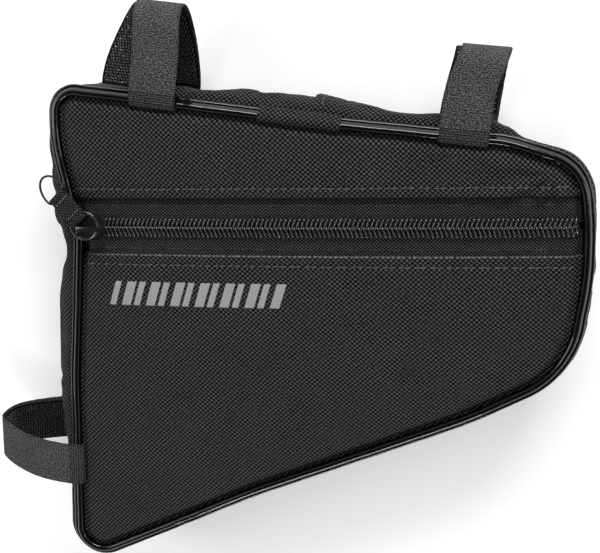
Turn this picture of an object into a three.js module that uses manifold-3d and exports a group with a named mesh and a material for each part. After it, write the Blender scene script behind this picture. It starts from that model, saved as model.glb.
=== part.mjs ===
import * as THREE from 'three';
import Module from 'manifold-3d';

// Bicycle frame bag, lying on its back panel with the zip side up.
// Sizes are in millimetres. X runs along the zip, Y to the top edge, Z out of the front.

// Room left between neighbouring pieces
const clearance = 0.3;

// Front seam outline, measured along the piping bead
const seam_length = 284;
const seam_height = 266;
const seam_spacing = 50.8;

// Corners of the seam, counted down the left side, along the bottom and back over the top.
// Columns: share of half the length, share of half the height, rounding as share of the height.
const seam_corners = [
  [-0.949, 1.007, 0.041],
  [-0.964, 0.807, 0.385],
  [-0.896, 0.424, 0.226],
  [-0.963, -0.221, 0.899],
  [-1.007, -1.076, 0.050],
  [-0.249, -0.696, 0.679],
  [0.576, -0.339, 0.709],
  [0.948, -0.131, 0.183],
  [1.011, 0.332, 0.735],
  [0.970, 0.680, 0.092],
  [0.715, 0.773, 0.246],
  [0.124, 0.844, 0.898],
];
const straight_step = 17;
const corner_step_angle = 17;
const least_step = 2;

// Piping: a round bead with a smaller ridge outside it
const bead_radius = 1.8;
const ridge_radius = 1.3;
const ridge_reach = 2.9;
const ridge_drop = 1.8;
const floor_gap = 0.4;
const bead_valley_angle = 25;
const ridge_valley_angle = 55;
const bead_foot_angle = 250;

// Front panels
const panel_thickness = 1.6;
const dome_height = 5;
const rim_drop = 1.0;
const shoulder_width = 1.2;
const shoulder_height = 1.2;
const crown_width = 2.2;
const crown_height = 2.6;
const lower_rows = 5;
const upper_rows = 3;

// Back panel
const back_thickness = 1.6;

// Side band
const gusset_thickness = 1.6;
const gusset_bulge = 15;
const lap_x = 1.5;
const lap_width = 12;
const lap_ramp = 9;
const bulge_skew = 0.52;
const gusset_rows = [0, 0.09, 0.2, 0.34, 0.5, 0.68, 0.85, 1];

// Fullness of the side band around the bag, starting at the lap and going down the left side.
// Columns: share of the way round, share of the bulge.
const bulge_table = [
  [0.000, 0.64],
  [0.035, 0.58],
  [0.075, 0.42],
  [0.095, 0.30],
  [0.112, 0.10],
  [0.130, 0.02],
  [0.145, 0.06],
  [0.158, 0.24],
  [0.178, 0.43],
  [0.196, 0.66],
  [0.212, 0.89],
  [0.226, 0.74],
  [0.238, 0.60],
  [0.252, 0.78],
  [0.270, 0.85],
  [0.295, 0.82],
  [0.320, 0.76],
  [0.345, 0.68],
  [0.370, 0.45],
  [0.395, 0.40],
  [0.420, 0.42],
  [0.445, 0.16],
  [0.500, 0.24],
  [0.640, 0.26],
  [0.720, 0.20],
  [0.800, 0.22],
  [0.850, 0.20],
  [0.885, 0.08],
  [0.895, 0.36],
  [0.905, 0.54],
  [0.925, 0.50],
  [0.950, 0.48],
  [0.970, 0.57],
  [0.985, 0.57],
  [1.000, 0.64],
];

// Tuck of the back seam towards the middle, round the upper right corner.
// Columns of the table: share of the way round from the lap, share of the tuck.
const back_tuck = 3;
const tuck_table = [
  [0.0000, 0.00],
  [0.8500, 0.00],
  [0.8680, 0.90],
  [0.8800, 1.00],
  [0.8920, 0.85],
  [0.9025, 0.00],
  [1.0000, 0.00],
];

// Zip
const zip_middle = 60.6;
const hem_spacing = 29.8;
const hem_cover = 5;
const tape_thickness = 0.9;
const tape_split = 3.2;
const zip_columns = 15;
const coil_width = 10.2;
const coil_height = 2.5;
const coil_end_room = 0.4;

// Slider
const slider_left = 17.2;
const slider_length = 14.2;
const slider_width = 13.4;
const slider_plate = 1.4;
const slider_corner = 2.4;
const slider_wall = 1.2;
const neck_width = 2.2;
const neck_start = 5.2;
const neck_length = 2.6;
const bridge_width = 2.8;
const bridge_post = 1.4;
const bridge_bar = 1.3;

// Wire ring with one flat side, through the slider's bridge
const wire_radius = 0.7;
const wire_sides = 6;
const ring_radius = 7.3;
const ring_flat = 4.6;
const ring_rise = 1.6;
const bridge_inset = 0.4;

// Webbing tab and cord on the ring
const tab_angle = 134;
const tab_pitch_angle = 11;
const tab_width = 11;
const tab_length = 17;
const tab_thickness = 2.2;
const tab_fold = 0.9;
const cord_radius = 0.6;
const cord_loop_width = 13.6;
const cord_loop_length = 13.5;

// Cloth sleeve over the joint of the piping
const wrap_thickness = 0.8;
const wrap_length = 43;
const wrap_start = 15.5;
const wrap_end_angle = -20;

// Hook and loop straps
const strap_width = 25;
const strap_thickness = 1.2;
const strap_root_angle = 190;
const strap_reach = 55;
const arch_steps = 10;

// Straps. Columns: name, share of the way round at its middle, share of the reach outside the seam,
// loop tape shift along the edge at the crest and at the back seam as shares of the strap width,
// hook tape shift at its free end, at the crest and at the back seam as shares of the strap width,
// start of the free end as a share of the reach.
const strap_table = [
  ['top_strap_left', 0.0894, 0.927, 0.16, 0.00, 0.60, 0.22, 0.00, 0.118],
  ['top_strap_right', 0.9169, 0.836, -0.26, -0.26, -0.08, -0.14, 0.02, 0.255],
  ['side_strap', 0.3703, 1.051, -0.16, -0.43, 0.04, -0.14, -0.34, 0.291],
];

// Arch of each strap, in the order of the strap table. Columns: share of the height at the crest,
// roundness to the front and to the back of it, share of the reach that the front and the back leg
// keep their direction for, lift of the front and of the back leg as shares of the reach.
const arch_table = [
  [0.62, 0.80, 0.50, 0.45, 0.30, 0.036, 0.018],
  [0.62, 0.80, 0.50, 0.45, 0.30, 0.036, 0.018],
  [0.47, 0.52, 0.62, 0.34, 0.88, 0.000, 0.076],
];

// Heights of the two seams
const back_bead_z = bead_radius + floor_gap;
const front_bead_z = back_bead_z + seam_spacing;
const gusset_edge_offset = ridge_drop + ridge_radius + clearance;

// Distances in from the bead to the edge, the foot and the top of a front panel's rim
const rim_inset = bead_radius + clearance;
const groove_width = strap_thickness + 2 * clearance;
const rim_rings = [0, groove_width, groove_width + shoulder_width,
  groove_width + shoulder_width + crown_width];
const rim_heights = [-rim_drop, -rim_drop, shoulder_height, crown_height];

const degree = Math.PI / 180;
const full_turn = 360;
const mix = (a, b, t) => a + (b - a) * t;

// A value read from a table of [position, value] rows, eased between the rows
function table_value(rows, position) {
  let i = 0;
  while (i < rows.length - 2 && position > rows[i + 1][0]) i += 1;
  const span = rows[i + 1][0] - rows[i][0];
  const t = Math.min(1, Math.max(0, (position - rows[i][0]) / span));
  return mix(rows[i][1], rows[i + 1][1], t * t * (3 - 2 * t));
}

// Seam outline as points, each with its outward direction and its distance along the seam
function seam_outline() {
  const corners = seam_corners.map(([u, v, r]) => ({
    x: u * seam_length / 2, y: v * seam_height / 2, radius: r * seam_height,
  }));
  const points = [];
  const count = corners.length;
  const arcs = corners.map((corner, i) => {
    const before = corners[(i + count - 1) % count];
    const after = corners[(i + 1) % count];
    const angle_in = Math.atan2(corner.y - before.y, corner.x - before.x);
    const angle_out = Math.atan2(after.y - corner.y, after.x - corner.x);
    let turn = angle_out - angle_in;
    while (turn > Math.PI) turn -= 2 * Math.PI;
    while (turn < -Math.PI) turn += 2 * Math.PI;
    const cut = Math.abs(corner.radius * Math.tan(turn / 2));
    const side = Math.sign(turn);
    const start = [corner.x - cut * Math.cos(angle_in), corner.y - cut * Math.sin(angle_in)];
    const centre = [start[0] - side * corner.radius * Math.sin(angle_in),
      start[1] + side * corner.radius * Math.cos(angle_in)];
    return { centre, radius: corner.radius, side, angle_in, turn };
  });
  arcs.forEach((arc) => {
    const steps = Math.max(1, Math.ceil(Math.abs(arc.turn) / (corner_step_angle * degree)));
    for (let k = 0; k <= steps; k += 1) {
      const heading = arc.angle_in + arc.turn * k / steps;
      points.push({
        x: arc.centre[0] + arc.side * arc.radius * Math.sin(heading),
        y: arc.centre[1] - arc.side * arc.radius * Math.cos(heading),
        nx: Math.sin(heading), ny: -Math.cos(heading),
      });
    }
  });
  const outline = [];
  points.forEach((point, i) => {
    const next = points[(i + 1) % points.length];
    const steps = Math.max(1, Math.round(Math.hypot(next.x - point.x, next.y - point.y) / straight_step));
    for (let k = 0; k < steps; k += 1) {
      const t = k / steps;
      const nx = mix(point.nx, next.nx, t);
      const ny = mix(point.ny, next.ny, t);
      const size = Math.hypot(nx, ny);
      outline.push({ x: mix(point.x, next.x, t), y: mix(point.y, next.y, t), nx: nx / size, ny: ny / size });
    }
  });
  let run = 0;
  outline.forEach((point, i) => {
    if (i > 0) run += Math.hypot(point.x - outline[i - 1].x, point.y - outline[i - 1].y);
    point.run = run;
  });
  const last = outline[outline.length - 1];
  const total = run + Math.hypot(outline[0].x - last.x, outline[0].y - last.y);
  return { outline, total };
}

const { outline, total: seam_total } = seam_outline();

// Distance along the seam at the middle of the top, where the side band is lapped
const lap_run = (() => {
  const i = outline.findIndex((point, k) => point.ny > 0.9 && point.x > lap_x
    && outline[(k + 1) % outline.length].x <= lap_x);
  const [a, b] = [outline[i], outline[i + 1]];
  return mix(a.run, b.run, (lap_x - a.x) / (b.x - a.x));
})();

// Distance along the seam brought back into one round
const wrapped = (run) => ((run % seam_total) + seam_total) % seam_total;

// Point of the seam at a share of the way round, counted from the lap down the left side
function seam_at(share) {
  const run = wrapped(share * seam_total + lap_run);
  let i = outline.length - 1;
  while (outline[i].run > run) i -= 1;
  const here = outline[i];
  const next = outline[(i + 1) % outline.length];
  const end = i + 1 < outline.length ? next.run : seam_total;
  const t = (run - here.run) / (end - here.run);
  const nx = mix(here.nx, next.nx, t);
  const ny = mix(here.ny, next.ny, t);
  const size = Math.hypot(nx, ny);
  return { x: mix(here.x, next.x, t), y: mix(here.y, next.y, t), nx: nx / size, ny: ny / size };
}

// Distance from a point inside the bag's outline to the seam
function seam_distance(x, y) {
  let best = Infinity;
  outline.forEach((a, i) => {
    const b = outline[(i + 1) % outline.length];
    const length2 = (b.x - a.x) ** 2 + (b.y - a.y) ** 2;
    const t = Math.min(1, Math.max(0, ((x - a.x) * (b.x - a.x) + (y - a.y) * (b.y - a.y)) / length2));
    best = Math.min(best, Math.hypot(x - mix(a.x, b.x, t), y - mix(a.y, b.y, t)));
  });
  return best;
}

// Top of the front cloth at a point: a groove at the seam, a rounded rim, then a shallow dome
function front_height(x, y) {
  const inset = seam_distance(x, y) - rim_inset;
  let k = 0;
  while (k < rim_rings.length - 2 && inset > rim_rings[k + 1]) k += 1;
  const t = Math.min(1, Math.max(0, (inset - rim_rings[k]) / (rim_rings[k + 1] - rim_rings[k])));
  const rim = mix(rim_heights[k], rim_heights[k + 1], t);
  const [left, right] = [-seam_length / 2, seam_length / 2];
  const top = mix(seam_corners[0][1], seam_corners[10][1], (x - left) / seam_length) * seam_height / 2;
  const low = mix(seam_corners[4][1], seam_corners[7][1], (x - left) / seam_length) * seam_height / 2;
  const along = 2 * (x - left) / (right - left) - 1;
  const across = 2 * (y - low) / (top - low) - 1;
  const dome = Math.max(0, 1 - along ** 2) * Math.max(0, 1 - across ** 2);
  return front_bead_z + rim + dome_height * dome * Math.min(1, Math.max(0, inset) / rim_rings[3]);
}

// Closed body from points and faces, turned so that it faces out
function closed_body(points, faces) {
  let volume = 0;
  faces.forEach(([a, b, c]) => {
    const [p, q, r] = [points[a], points[b], points[c]];
    volume += p[0] * (q[1] * r[2] - q[2] * r[1]) - p[1] * (q[0] * r[2] - q[2] * r[0])
      + p[2] * (q[0] * r[1] - q[1] * r[0]);
  });
  const geometry = new THREE.BufferGeometry();
  geometry.setAttribute('position', new THREE.Float32BufferAttribute(points.flat(), 3));
  geometry.setIndex(faces.flatMap(([a, b, c]) => (volume > 0 ? [a, b, c] : [a, c, b])));
  geometry.computeVertexNormals();
  return geometry;
}

// Body through rows of section points, joined end to end, or closed by caps of a flat section
function body_through(sections, flat_section) {
  const size = sections[0].length;
  const faces = [];
  const spans = flat_section ? sections.length - 1 : sections.length;
  for (let i = 0; i < spans; i += 1) {
    const here = i * size;
    const next = ((i + 1) % sections.length) * size;
    for (let k = 0; k < size; k += 1) {
      const k2 = (k + 1) % size;
      faces.push([here + k, next + k, next + k2], [here + k, next + k2, here + k2]);
    }
  }
  if (flat_section) {
    const contour = flat_section.map(([x, y]) => new THREE.Vector2(x, y));
    const turn = Math.sign(THREE.ShapeUtils.area(contour));
    const end = (sections.length - 1) * size;
    THREE.ShapeUtils.triangulateShape(contour, []).forEach((corners) => {
      const same = Math.sign(THREE.ShapeUtils.area(corners.map((i) => contour[i]))) === turn;
      const [p, q, r] = same ? corners : corners.slice().reverse();
      faces.push([p, q, r], [end + p, end + r, end + q]);
    });
  }
  return closed_body(sections.flat(), faces);
}

// Cloth sheet over a grid of points, with a top height at each point and one thickness
function sheet_over(rows, top_of, thickness) {
  const height = rows.length;
  const width = rows[0].length;
  const tops = rows.flat().map(([x, y]) => [x, y, top_of(x, y)]);
  const points = tops.concat(tops.map(([x, y, z]) => [x, y, z - thickness]));
  const under = width * height;
  const faces = [];
  for (let j = 0; j < height - 1; j += 1) {
    for (let i = 0; i < width - 1; i += 1) {
      const a = j * width + i;
      const [b, c, d] = [a + 1, a + width + 1, a + width];
      faces.push([a, b, c], [a, c, d], [under + a, under + c, under + b], [under + a, under + d, under + c]);
    }
  }
  const rim = [];
  for (let i = 0; i < width; i += 1) rim.push(i);
  for (let j = 1; j < height; j += 1) rim.push(j * width + width - 1);
  for (let i = width - 2; i >= 0; i -= 1) rim.push((height - 1) * width + i);
  for (let j = height - 2; j > 0; j -= 1) rim.push(j * width);
  rim.forEach((a, i) => {
    const b = rim[(i + 1) % rim.length];
    faces.push([a, under + b, b], [a, under + a, under + b]);
  });
  return closed_body(points, faces);
}

// Seam line moved in to the panels' edge
const rim_outline = outline.map(({ x, y, nx, ny }) => [x - nx * rim_inset, y - ny * rim_inset]);

// Points of the seam above or below a hem, in their order round the bag
function seam_beyond(hem) {
  const above = hem > zip_middle;
  const room = rim_rings[1];
  const keep = (point) => (above ? point.y > hem + room : point.y < hem - room);
  const count = outline.length;
  const first = outline.findIndex((point, i) => keep(point) && !keep(outline[(i + count - 1) % count]));
  const kept = [];
  for (let i = first; keep(outline[i % count]); i += 1) kept.push(outline[i % count]);
  return kept;
}

// Panel cloth on one side of a hem, rounded down along the seam and plain along the hem
function front_panel(hem, rows) {
  const kept = seam_beyond(hem);
  const side = Math.sign(kept[0].x);
  const ends = [side, -side].map((s) => rim_rings.map((inset) => [row_end(hem, rim_inset + inset, s), hem]));
  const rim = [ends[0], ...kept.map(({ x, y, nx, ny }) => rim_rings.map((inset) => (
    [x - nx * (rim_inset + inset), y - ny * (rim_inset + inset)]))), ends[1]];
  const columns = rim.length;
  const runs = [0];
  for (let i = 1; i < columns; i += 1) {
    const [a, b] = [rim[i - 1][0], rim[i][0]];
    runs.push(runs[i - 1] + Math.hypot(b[0] - a[0], b[1] - a[1]));
  }
  const tops = [];
  const index = rim.map((column, i) => {
    const numbers = column.map((point) => tops.push(point) - 1);
    const foot = column[column.length - 1];
    const hem_x = mix(ends[0][3][0], ends[1][3][0], runs[i] / runs[columns - 1]);
    for (let r = 1; r <= rows; r += 1) {
      const at_end = i === 0 || i === columns - 1;
      const point = [mix(foot[0], hem_x, r / rows), mix(foot[1], hem, r / rows)];
      numbers.push(at_end ? numbers[3] : tops.push(point) - 1);
    }
    return numbers;
  });
  const under = tops.length;
  const raised = tops.map(([x, y]) => [x, y, front_height(x, y)]);
  const points = raised.concat(raised.map(([x, y, z]) => [x, y, z - panel_thickness]));
  const faces = [];
  const add_face = (a, b, c) => {
    if (a !== b && b !== c && c !== a) faces.push([a, b, c], [under + a, under + c, under + b]);
  };
  for (let i = 0; i < columns - 1; i += 1) {
    for (let k = 0; k < index[i].length - 1; k += 1) {
      add_face(index[i][k], index[i + 1][k], index[i + 1][k + 1]);
      add_face(index[i][k], index[i + 1][k + 1], index[i][k + 1]);
    }
  }
  const hem_numbers = index.slice(1, -1).map((numbers) => numbers[numbers.length - 1]).reverse();
  const edge = [...index.map((numbers) => numbers[0]), ...index[columns - 1].slice(1, 4), ...hem_numbers,
    ...index[0].slice(1, 4).reverse()];
  edge.forEach((a, i) => {
    const b = edge[(i + 1) % edge.length];
    faces.push([a, under + b, b], [a, under + a, under + b]);
  });
  return closed_body(points, faces);
}

// X of the place in a row at a given distance from the seam, on the left or right side
function row_end(y, distance, side) {
  let [inside, outside] = [0, side * seam_length / 2];
  for (let i = 0; i < 30; i += 1) {
    const middle = (inside + outside) / 2;
    if (seam_distance(middle, y) > distance && Math.abs(middle) < seam_length / 2 && inside_row(middle, y)) {
      inside = middle;
    } else {
      outside = middle;
    }
  }
  return inside;
}

// Whether a point lies inside the seam line
function inside_row(x, y) {
  let inside = false;
  outline.forEach((a, i) => {
    const b = outline[(i + 1) % outline.length];
    if ((a.y > y) !== (b.y > y) && x < mix(a.x, b.x, (y - a.y) / (b.y - a.y))) inside = !inside;
  });
  return inside;
}

// Columns of a row across the zip, closer together over the rims
function zip_row(y) {
  const left = rim_rings.map((inset) => row_end(y, rim_inset + inset, -1));
  const right = rim_rings.map((inset) => row_end(y, rim_inset + inset, 1)).reverse();
  const row = left.slice();
  for (let k = 1; k < zip_columns; k += 1) row.push(mix(left[3], right[0], k / zip_columns));
  return row.concat(right).map((x) => [x, y]);
}

const tape_top = (x, y) => front_height(x, y) - panel_thickness - clearance;

// Woven tape beside the coil, on the upper or lower side
function zip_tape(side) {
  const hem = zip_middle + side * hem_spacing / 2;
  const rows = [zip_middle + side * tape_split / 2, hem, hem + side * hem_cover].map(zip_row);
  return sheet_over(rows, tape_top, tape_thickness);
}

// Slider placement
const slider_x = row_end(zip_middle, slider_left, -1) - slider_length;
const slider_base = Math.max(tape_top(slider_x, zip_middle), tape_top(slider_x + slider_length, zip_middle));
const slider_top = slider_base + clearance + coil_height + clearance + slider_plate;

// One row of closed teeth beside the middle line of the zip
function zip_coil(side) {
  const start = slider_x + neck_start + neck_length + clearance;
  const end = row_end(zip_middle, rim_inset + coil_end_room, 1);
  const middle_row = zip_row(zip_middle + side * tape_split / 2).map(([x]) => x);
  const columns = [start, ...middle_row.filter((x) => x > start + least_step && x < end - least_step), end];
  const inner = side * clearance / 2;
  const outer = side * coil_width / 2;
  const chamfer = side * coil_height / 4;
  const section = [[inner, 0], [outer - chamfer, 0], [outer, coil_height / 4],
    [outer, coil_height * 0.75], [outer - chamfer, coil_height], [inner, coil_height]];
  const sections = columns.map((x) => {
    const base = Math.max(tape_top(x, zip_middle), tape_top(x, zip_middle + outer)) + clearance;
    return section.map(([y, z]) => [x, zip_middle + y, base + z]);
  });
  return body_through(sections, section);
}

// Share of the way round from the lap, and the tuck of the back seam there
const share_of = (point) => wrapped(point.run - lap_run) / seam_total;
const tuck_at = (share) => back_tuck * table_value(tuck_table, share);

// Body swept round the whole seam with one section, given outward and up from the bead line
function around_seam(section, base_z, flip) {
  const section_at = (p) => {
    const tuck = flip < 0 ? tuck_at(share_of(p)) : 0;
    return section.map(([n, z]) => [p.x + p.nx * (n - tuck), p.y + p.ny * (n - tuck), base_z + flip * z]);
  };
  return body_through(outline.map(section_at));
}

const arc_points = (cx, cy, radius, from, to, steps) => Array.from({ length: steps + 1 }, (unused, k) => {
  const angle = mix(from, to, k / steps) * degree;
  return [cx + radius * Math.cos(angle), cy + radius * Math.sin(angle)];
});

// Direction square to the line that touches both the bead and the ridge
const ridge_angle = Math.atan2(-ridge_drop, ridge_reach) / degree;
const touch_angle = ridge_angle
  + Math.acos((bead_radius - ridge_radius) / Math.hypot(ridge_reach, ridge_drop)) / degree;

// Section of the piping, counter-clockwise from the valley between bead and ridge
const piping_section = [
  ...arc_points(0, 0, bead_radius, touch_angle - bead_valley_angle, bead_foot_angle, 6),
  ...arc_points(ridge_reach, -ridge_drop, ridge_radius, bead_foot_angle,
    full_turn + touch_angle + ridge_valley_angle, 4),
];

// Side band, open at the lap, where its last part rides over its first
function gusset() {
  const front = front_bead_z - gusset_edge_offset;
  const back = back_bead_z + gusset_edge_offset;
  const lap = lap_width / seam_total;
  const ramp = lap_ramp / seam_total;
  const shares = [-lap, -lap / 2];
  outline.forEach((point) => shares.push(share_of(point)));
  shares.push(1 - lap - ramp, 1 - lap, 1 - lap / 2, 1);
  const close = least_step / seam_total;
  const ordered = shares.sort((a, b) => a - b).filter((s, i, list) => i === 0 || s - list[i - 1] > close);
  if (ordered[ordered.length - 1] < 1) ordered[ordered.length - 1] = 1;
  let flat;
  const sections = ordered.map((share) => {
    const p = seam_at(share);
    const place = share < 0 ? share + 1 : share;
    const fullness = gusset_bulge * table_value(bulge_table, place);
    const climbed = Math.min(1, Math.max(0, (share - (1 - lap - ramp)) / ramp));
    const foot = ridge_reach + (gusset_thickness + clearance) * climbed;
    const outer = gusset_rows.map((u) => [
      foot + fullness * Math.sin(Math.PI * u ** bulge_skew) - tuck_at(place) * u, mix(front, back, u),
    ]);
    const inner = outer.map(([n, z]) => [n - gusset_thickness, z]).reverse();
    const section = outer.concat(inner);
    flat = flat || section;
    return section.map(([n, z]) => [p.x + p.nx * n, p.y + p.ny * n, z]);
  });
  return body_through(sections, flat);
}

// Sleeve over the bead and the ridge, open below
function piping_wrap() {
  const inner_bead = bead_radius + clearance;
  const inner_ridge = ridge_radius + clearance;
  const path = (extra) => [
    ...arc_points(0, 0, inner_bead + extra, strap_root_angle, touch_angle, 5),
    ...arc_points(ridge_reach, -ridge_drop, inner_ridge + extra, touch_angle, wrap_end_angle, 3),
  ];
  const section = path(0).concat(path(wrap_thickness).reverse());
  const from = -wrap_start / seam_total;
  const sections = [0, 1, 2, 3].map((k) => {
    const p = seam_at(mix(from, from + wrap_length / seam_total, k / 3));
    return section.map(([n, z]) => [p.x + p.nx * n, p.y + p.ny * n, front_bead_z + z]);
  });
  return body_through(sections, section);
}

// Curve through two joined arches, from the front leg over the crest to the back seam
function arch_points(reach_share, form, start, end) {
  const [crest_share, front_round, back_round, front_leg, back_leg, front_lift, back_lift] = form;
  const reach = strap_reach * reach_share;
  const crest_z = mix(end[1], start[1], crest_share);
  const point = (n, z) => new THREE.Vector2(n, z);
  const crest = point(reach, crest_z);
  const front = new THREE.CubicBezierCurve(point(...start),
    point(start[0] + reach * front_leg, start[1] + strap_reach * front_lift),
    point(reach, mix(crest_z, start[1], front_round)), crest);
  const back = new THREE.CubicBezierCurve(crest, point(reach, mix(crest_z, end[1], back_round)),
    point(end[0] + reach * back_leg, end[1] + strap_reach * back_lift), point(...end));
  const points = front.getPoints(arch_steps).concat(back.getPoints(arch_steps).slice(1));
  return points.map((p) => [p.x, p.y]);
}

// Flat tape along a path given outward and up, shifted along the edge by a table
function tape_body(share, path, shifts) {
  const p = seam_at(share);
  const lengths = [0];
  path.forEach((q, i) => {
    if (i > 0) lengths.push(lengths[i - 1] + Math.hypot(q[0] - path[i - 1][0], q[1] - path[i - 1][1]));
  });
  const whole = lengths[lengths.length - 1];
  const half = strap_width / 2;
  const thick = strap_thickness / 2;
  const section = [[-half, -thick], [half, -thick], [half, thick], [-half, thick]];
  const sections = path.map((q, i) => {
    const a = path[Math.max(0, i - 1)];
    const b = path[Math.min(path.length - 1, i + 1)];
    const size = Math.hypot(b[0] - a[0], b[1] - a[1]);
    const [tn, tz] = [(b[0] - a[0]) / size, (b[1] - a[1]) / size];
    const shift = strap_width * table_value(shifts, lengths[i] / whole);
    return section.map(([across, out]) => {
      const n = q[0] - tz * out;
      const z = q[1] + tn * out;
      return [p.x + p.nx * n + p.ny * (-shift - across), p.y + p.ny * n - p.nx * (-shift - across), z];
    });
  });
  return body_through(sections, section);
}

const strap_root_radius = bead_radius + clearance + strap_thickness / 2;
const strap_end_n = ridge_reach + ridge_radius + 1.5 * clearance;
const strap_end_z = back_bead_z + clearance + strap_thickness;

// Arch of a strap from the top of the bead to the back seam
function strap_arch(reach, form) {
  return arch_points(reach, form, [0, front_bead_z + strap_root_radius], [strap_end_n, strap_end_z]);
}

// Outer tape of a strap: out of the groove, over the bead, round the tube and down to the back seam
function strap_loop([, share, reach, crest_shift, back_shift], form) {
  const root = arc_points(0, 0, strap_root_radius, strap_root_angle, 90, 5)
    .map(([n, z]) => [n, z + front_bead_z]);
  const path = root.concat(strap_arch(reach, form).slice(1));
  return tape_body(share, path, [[0, 0], [0.2, 0], [0.5, crest_shift], [1, back_shift]]);
}

// Inner tape of a strap: from the back seam round the tube to its free end near the front
function strap_hook([, share, reach, , , free_shift, crest_shift, back_shift, free_share], form) {
  const free_start = strap_reach * free_share;
  const arch = strap_arch(reach, form);
  const step_in = strap_thickness + clearance;
  const inner = arch.map(([n, z], i) => {
    const [a, b] = [arch[Math.max(0, i - 1)], arch[Math.min(arch.length - 1, i + 1)]];
    const size = Math.hypot(b[0] - a[0], b[1] - a[1]);
    return [n + step_in * (b[1] - a[1]) / size, z - step_in * (b[0] - a[0]) / size];
  });
  const front_leg = inner.filter(([, z]) => z > mix(back_bead_z, front_bead_z, 0.5));
  const rest = inner.slice(front_leg.length);
  const kept = front_leg.filter(([n]) => n > free_start + least_step);
  const cut = front_leg[front_leg.length - kept.length - 1];
  const t = (free_start - cut[0]) / (kept[0][0] - cut[0]);
  const free_end = [free_start, mix(cut[1], kept[0][1], t)];
  const last = rest[rest.length - 1];
  const path = [free_end, ...kept, ...rest.slice(0, -1), [last[0] + clearance, last[1]]];
  return tape_body(share, path, [[0, free_shift], [0.45, crest_shift], [1, back_shift]]);
}

// Ring path with one flat side, as points in its own plane
function flat_ring(radius, flat, angle, stretch) {
  const half = Math.acos(flat / radius) / degree;
  const points = arc_points(0, 0, radius, half, full_turn - half, 20);
  return points.map(([a, b]) => {
    const along = a < 0 ? a * stretch : a;
    return [along * Math.cos(angle) - b * Math.sin(angle), along * Math.sin(angle) + b * Math.cos(angle)];
  });
}

// Round wire along a closed path of points in space
function closed_wire(path, radius, sides) {
  const normal = new THREE.Vector3();
  path.forEach((p, i) => normal.add(new THREE.Vector3().crossVectors(p, path[(i + 1) % path.length])));
  normal.normalize();
  const sections = path.map((p, i) => {
    const before = p.clone().sub(path[(i + path.length - 1) % path.length]).normalize();
    const after = path[(i + 1) % path.length].clone().sub(p).normalize();
    const tangent = before.clone().add(after).normalize();
    const side = new THREE.Vector3().crossVectors(tangent, normal).normalize();
    const mitre = 1 / Math.max(0.5, tangent.dot(after));
    return Array.from({ length: sides }, (unused, k) => {
      const angle = 2 * Math.PI * k / sides;
      const q = p.clone().addScaledVector(side, radius * mitre * Math.cos(angle))
        .addScaledVector(normal, radius * Math.sin(angle));
      return [q.x, q.y, q.z];
    });
  });
  return body_through(sections);
}

const ring_eye = wire_radius + clearance;
const cord_eye = cord_radius + clearance;
const ring_z = slider_top + clearance + ring_eye + tab_fold;
const bridge_x0 = slider_x + bridge_inset;
const bridge_x1 = slider_x + slider_length - bridge_inset;
const ring_x = bridge_x1 - bridge_post - clearance - wire_radius - ring_radius;
const tab_direction = [Math.cos(tab_angle * degree), Math.sin(tab_angle * degree)];

function pull_ring() {
  const path = flat_ring(ring_radius, ring_flat, tab_angle * degree, 1);
  const points = path.map(([x, y]) => new THREE.Vector3(ring_x + x, zip_middle + ring_rise + y, ring_z));
  return closed_wire(points, wire_radius, wire_sides);
}

// Place a point given along the tab, across it and up into the bag's frame
function from_tab(along, across, up) {
  const pitch = tab_pitch_angle * degree;
  const flat = along * Math.cos(pitch) + up * Math.sin(pitch);
  const z = ring_z - along * Math.sin(pitch) + up * Math.cos(pitch);
  const x = ring_x + tab_direction[0] * (ring_flat + flat) - tab_direction[1] * across;
  const y = zip_middle + ring_rise + tab_direction[1] * (ring_flat + flat) + tab_direction[0] * across;
  return [x, y, z];
}

// Folded webbing tab with a fold round the ring at one end and round the cord at the other
function pull_tab() {
  const profile = new THREE.Shape();
  const [low, high] = [ring_eye + tab_fold, cord_eye + tab_fold];
  const low_turn = Math.asin(tab_thickness / 2 / low);
  const high_turn = Math.asin(tab_thickness / 2 / high);
  profile.absarc(0, 0, low, low_turn, 2 * Math.PI - low_turn, false);
  profile.absarc(tab_length, 0, high, Math.PI + high_turn, Math.PI * 3 - high_turn, false);
  profile.closePath();
  const ring_hole = new THREE.Path().absarc(0, 0, ring_eye, 0, 2 * Math.PI, true);
  const cord_hole = new THREE.Path().absarc(tab_length, 0, cord_eye, 0, 2 * Math.PI, true);
  profile.holes.push(ring_hole, cord_hole);
  const tab = new THREE.ExtrudeGeometry(profile, { depth: tab_width, bevelEnabled: false, curveSegments: 5 });
  const position = tab.attributes.position;
  for (let i = 0; i < position.count; i += 1) {
    const [along, up, across] = [position.getX(i), position.getY(i), position.getZ(i) - tab_width / 2];
    position.setXYZ(i, ...from_tab(along, -across, up));
  }
  tab.computeVertexNormals();
  return tab;
}

// Cord loop through the outer fold of the tab
function pull_cord() {
  const radius = cord_loop_width / 2;
  const flat = Math.sqrt(radius ** 2 - (tab_width / 2 + 2 * clearance) ** 2);
  const path = flat_ring(radius, flat, Math.PI, (cord_loop_length - flat) / radius);
  const points = path.map(([a, b]) => new THREE.Vector3(...from_tab(tab_length + flat + a, b, 0)));
  return closed_wire(points, cord_radius, wire_sides);
}

const wasm = await Module();
wasm.setup();

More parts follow.
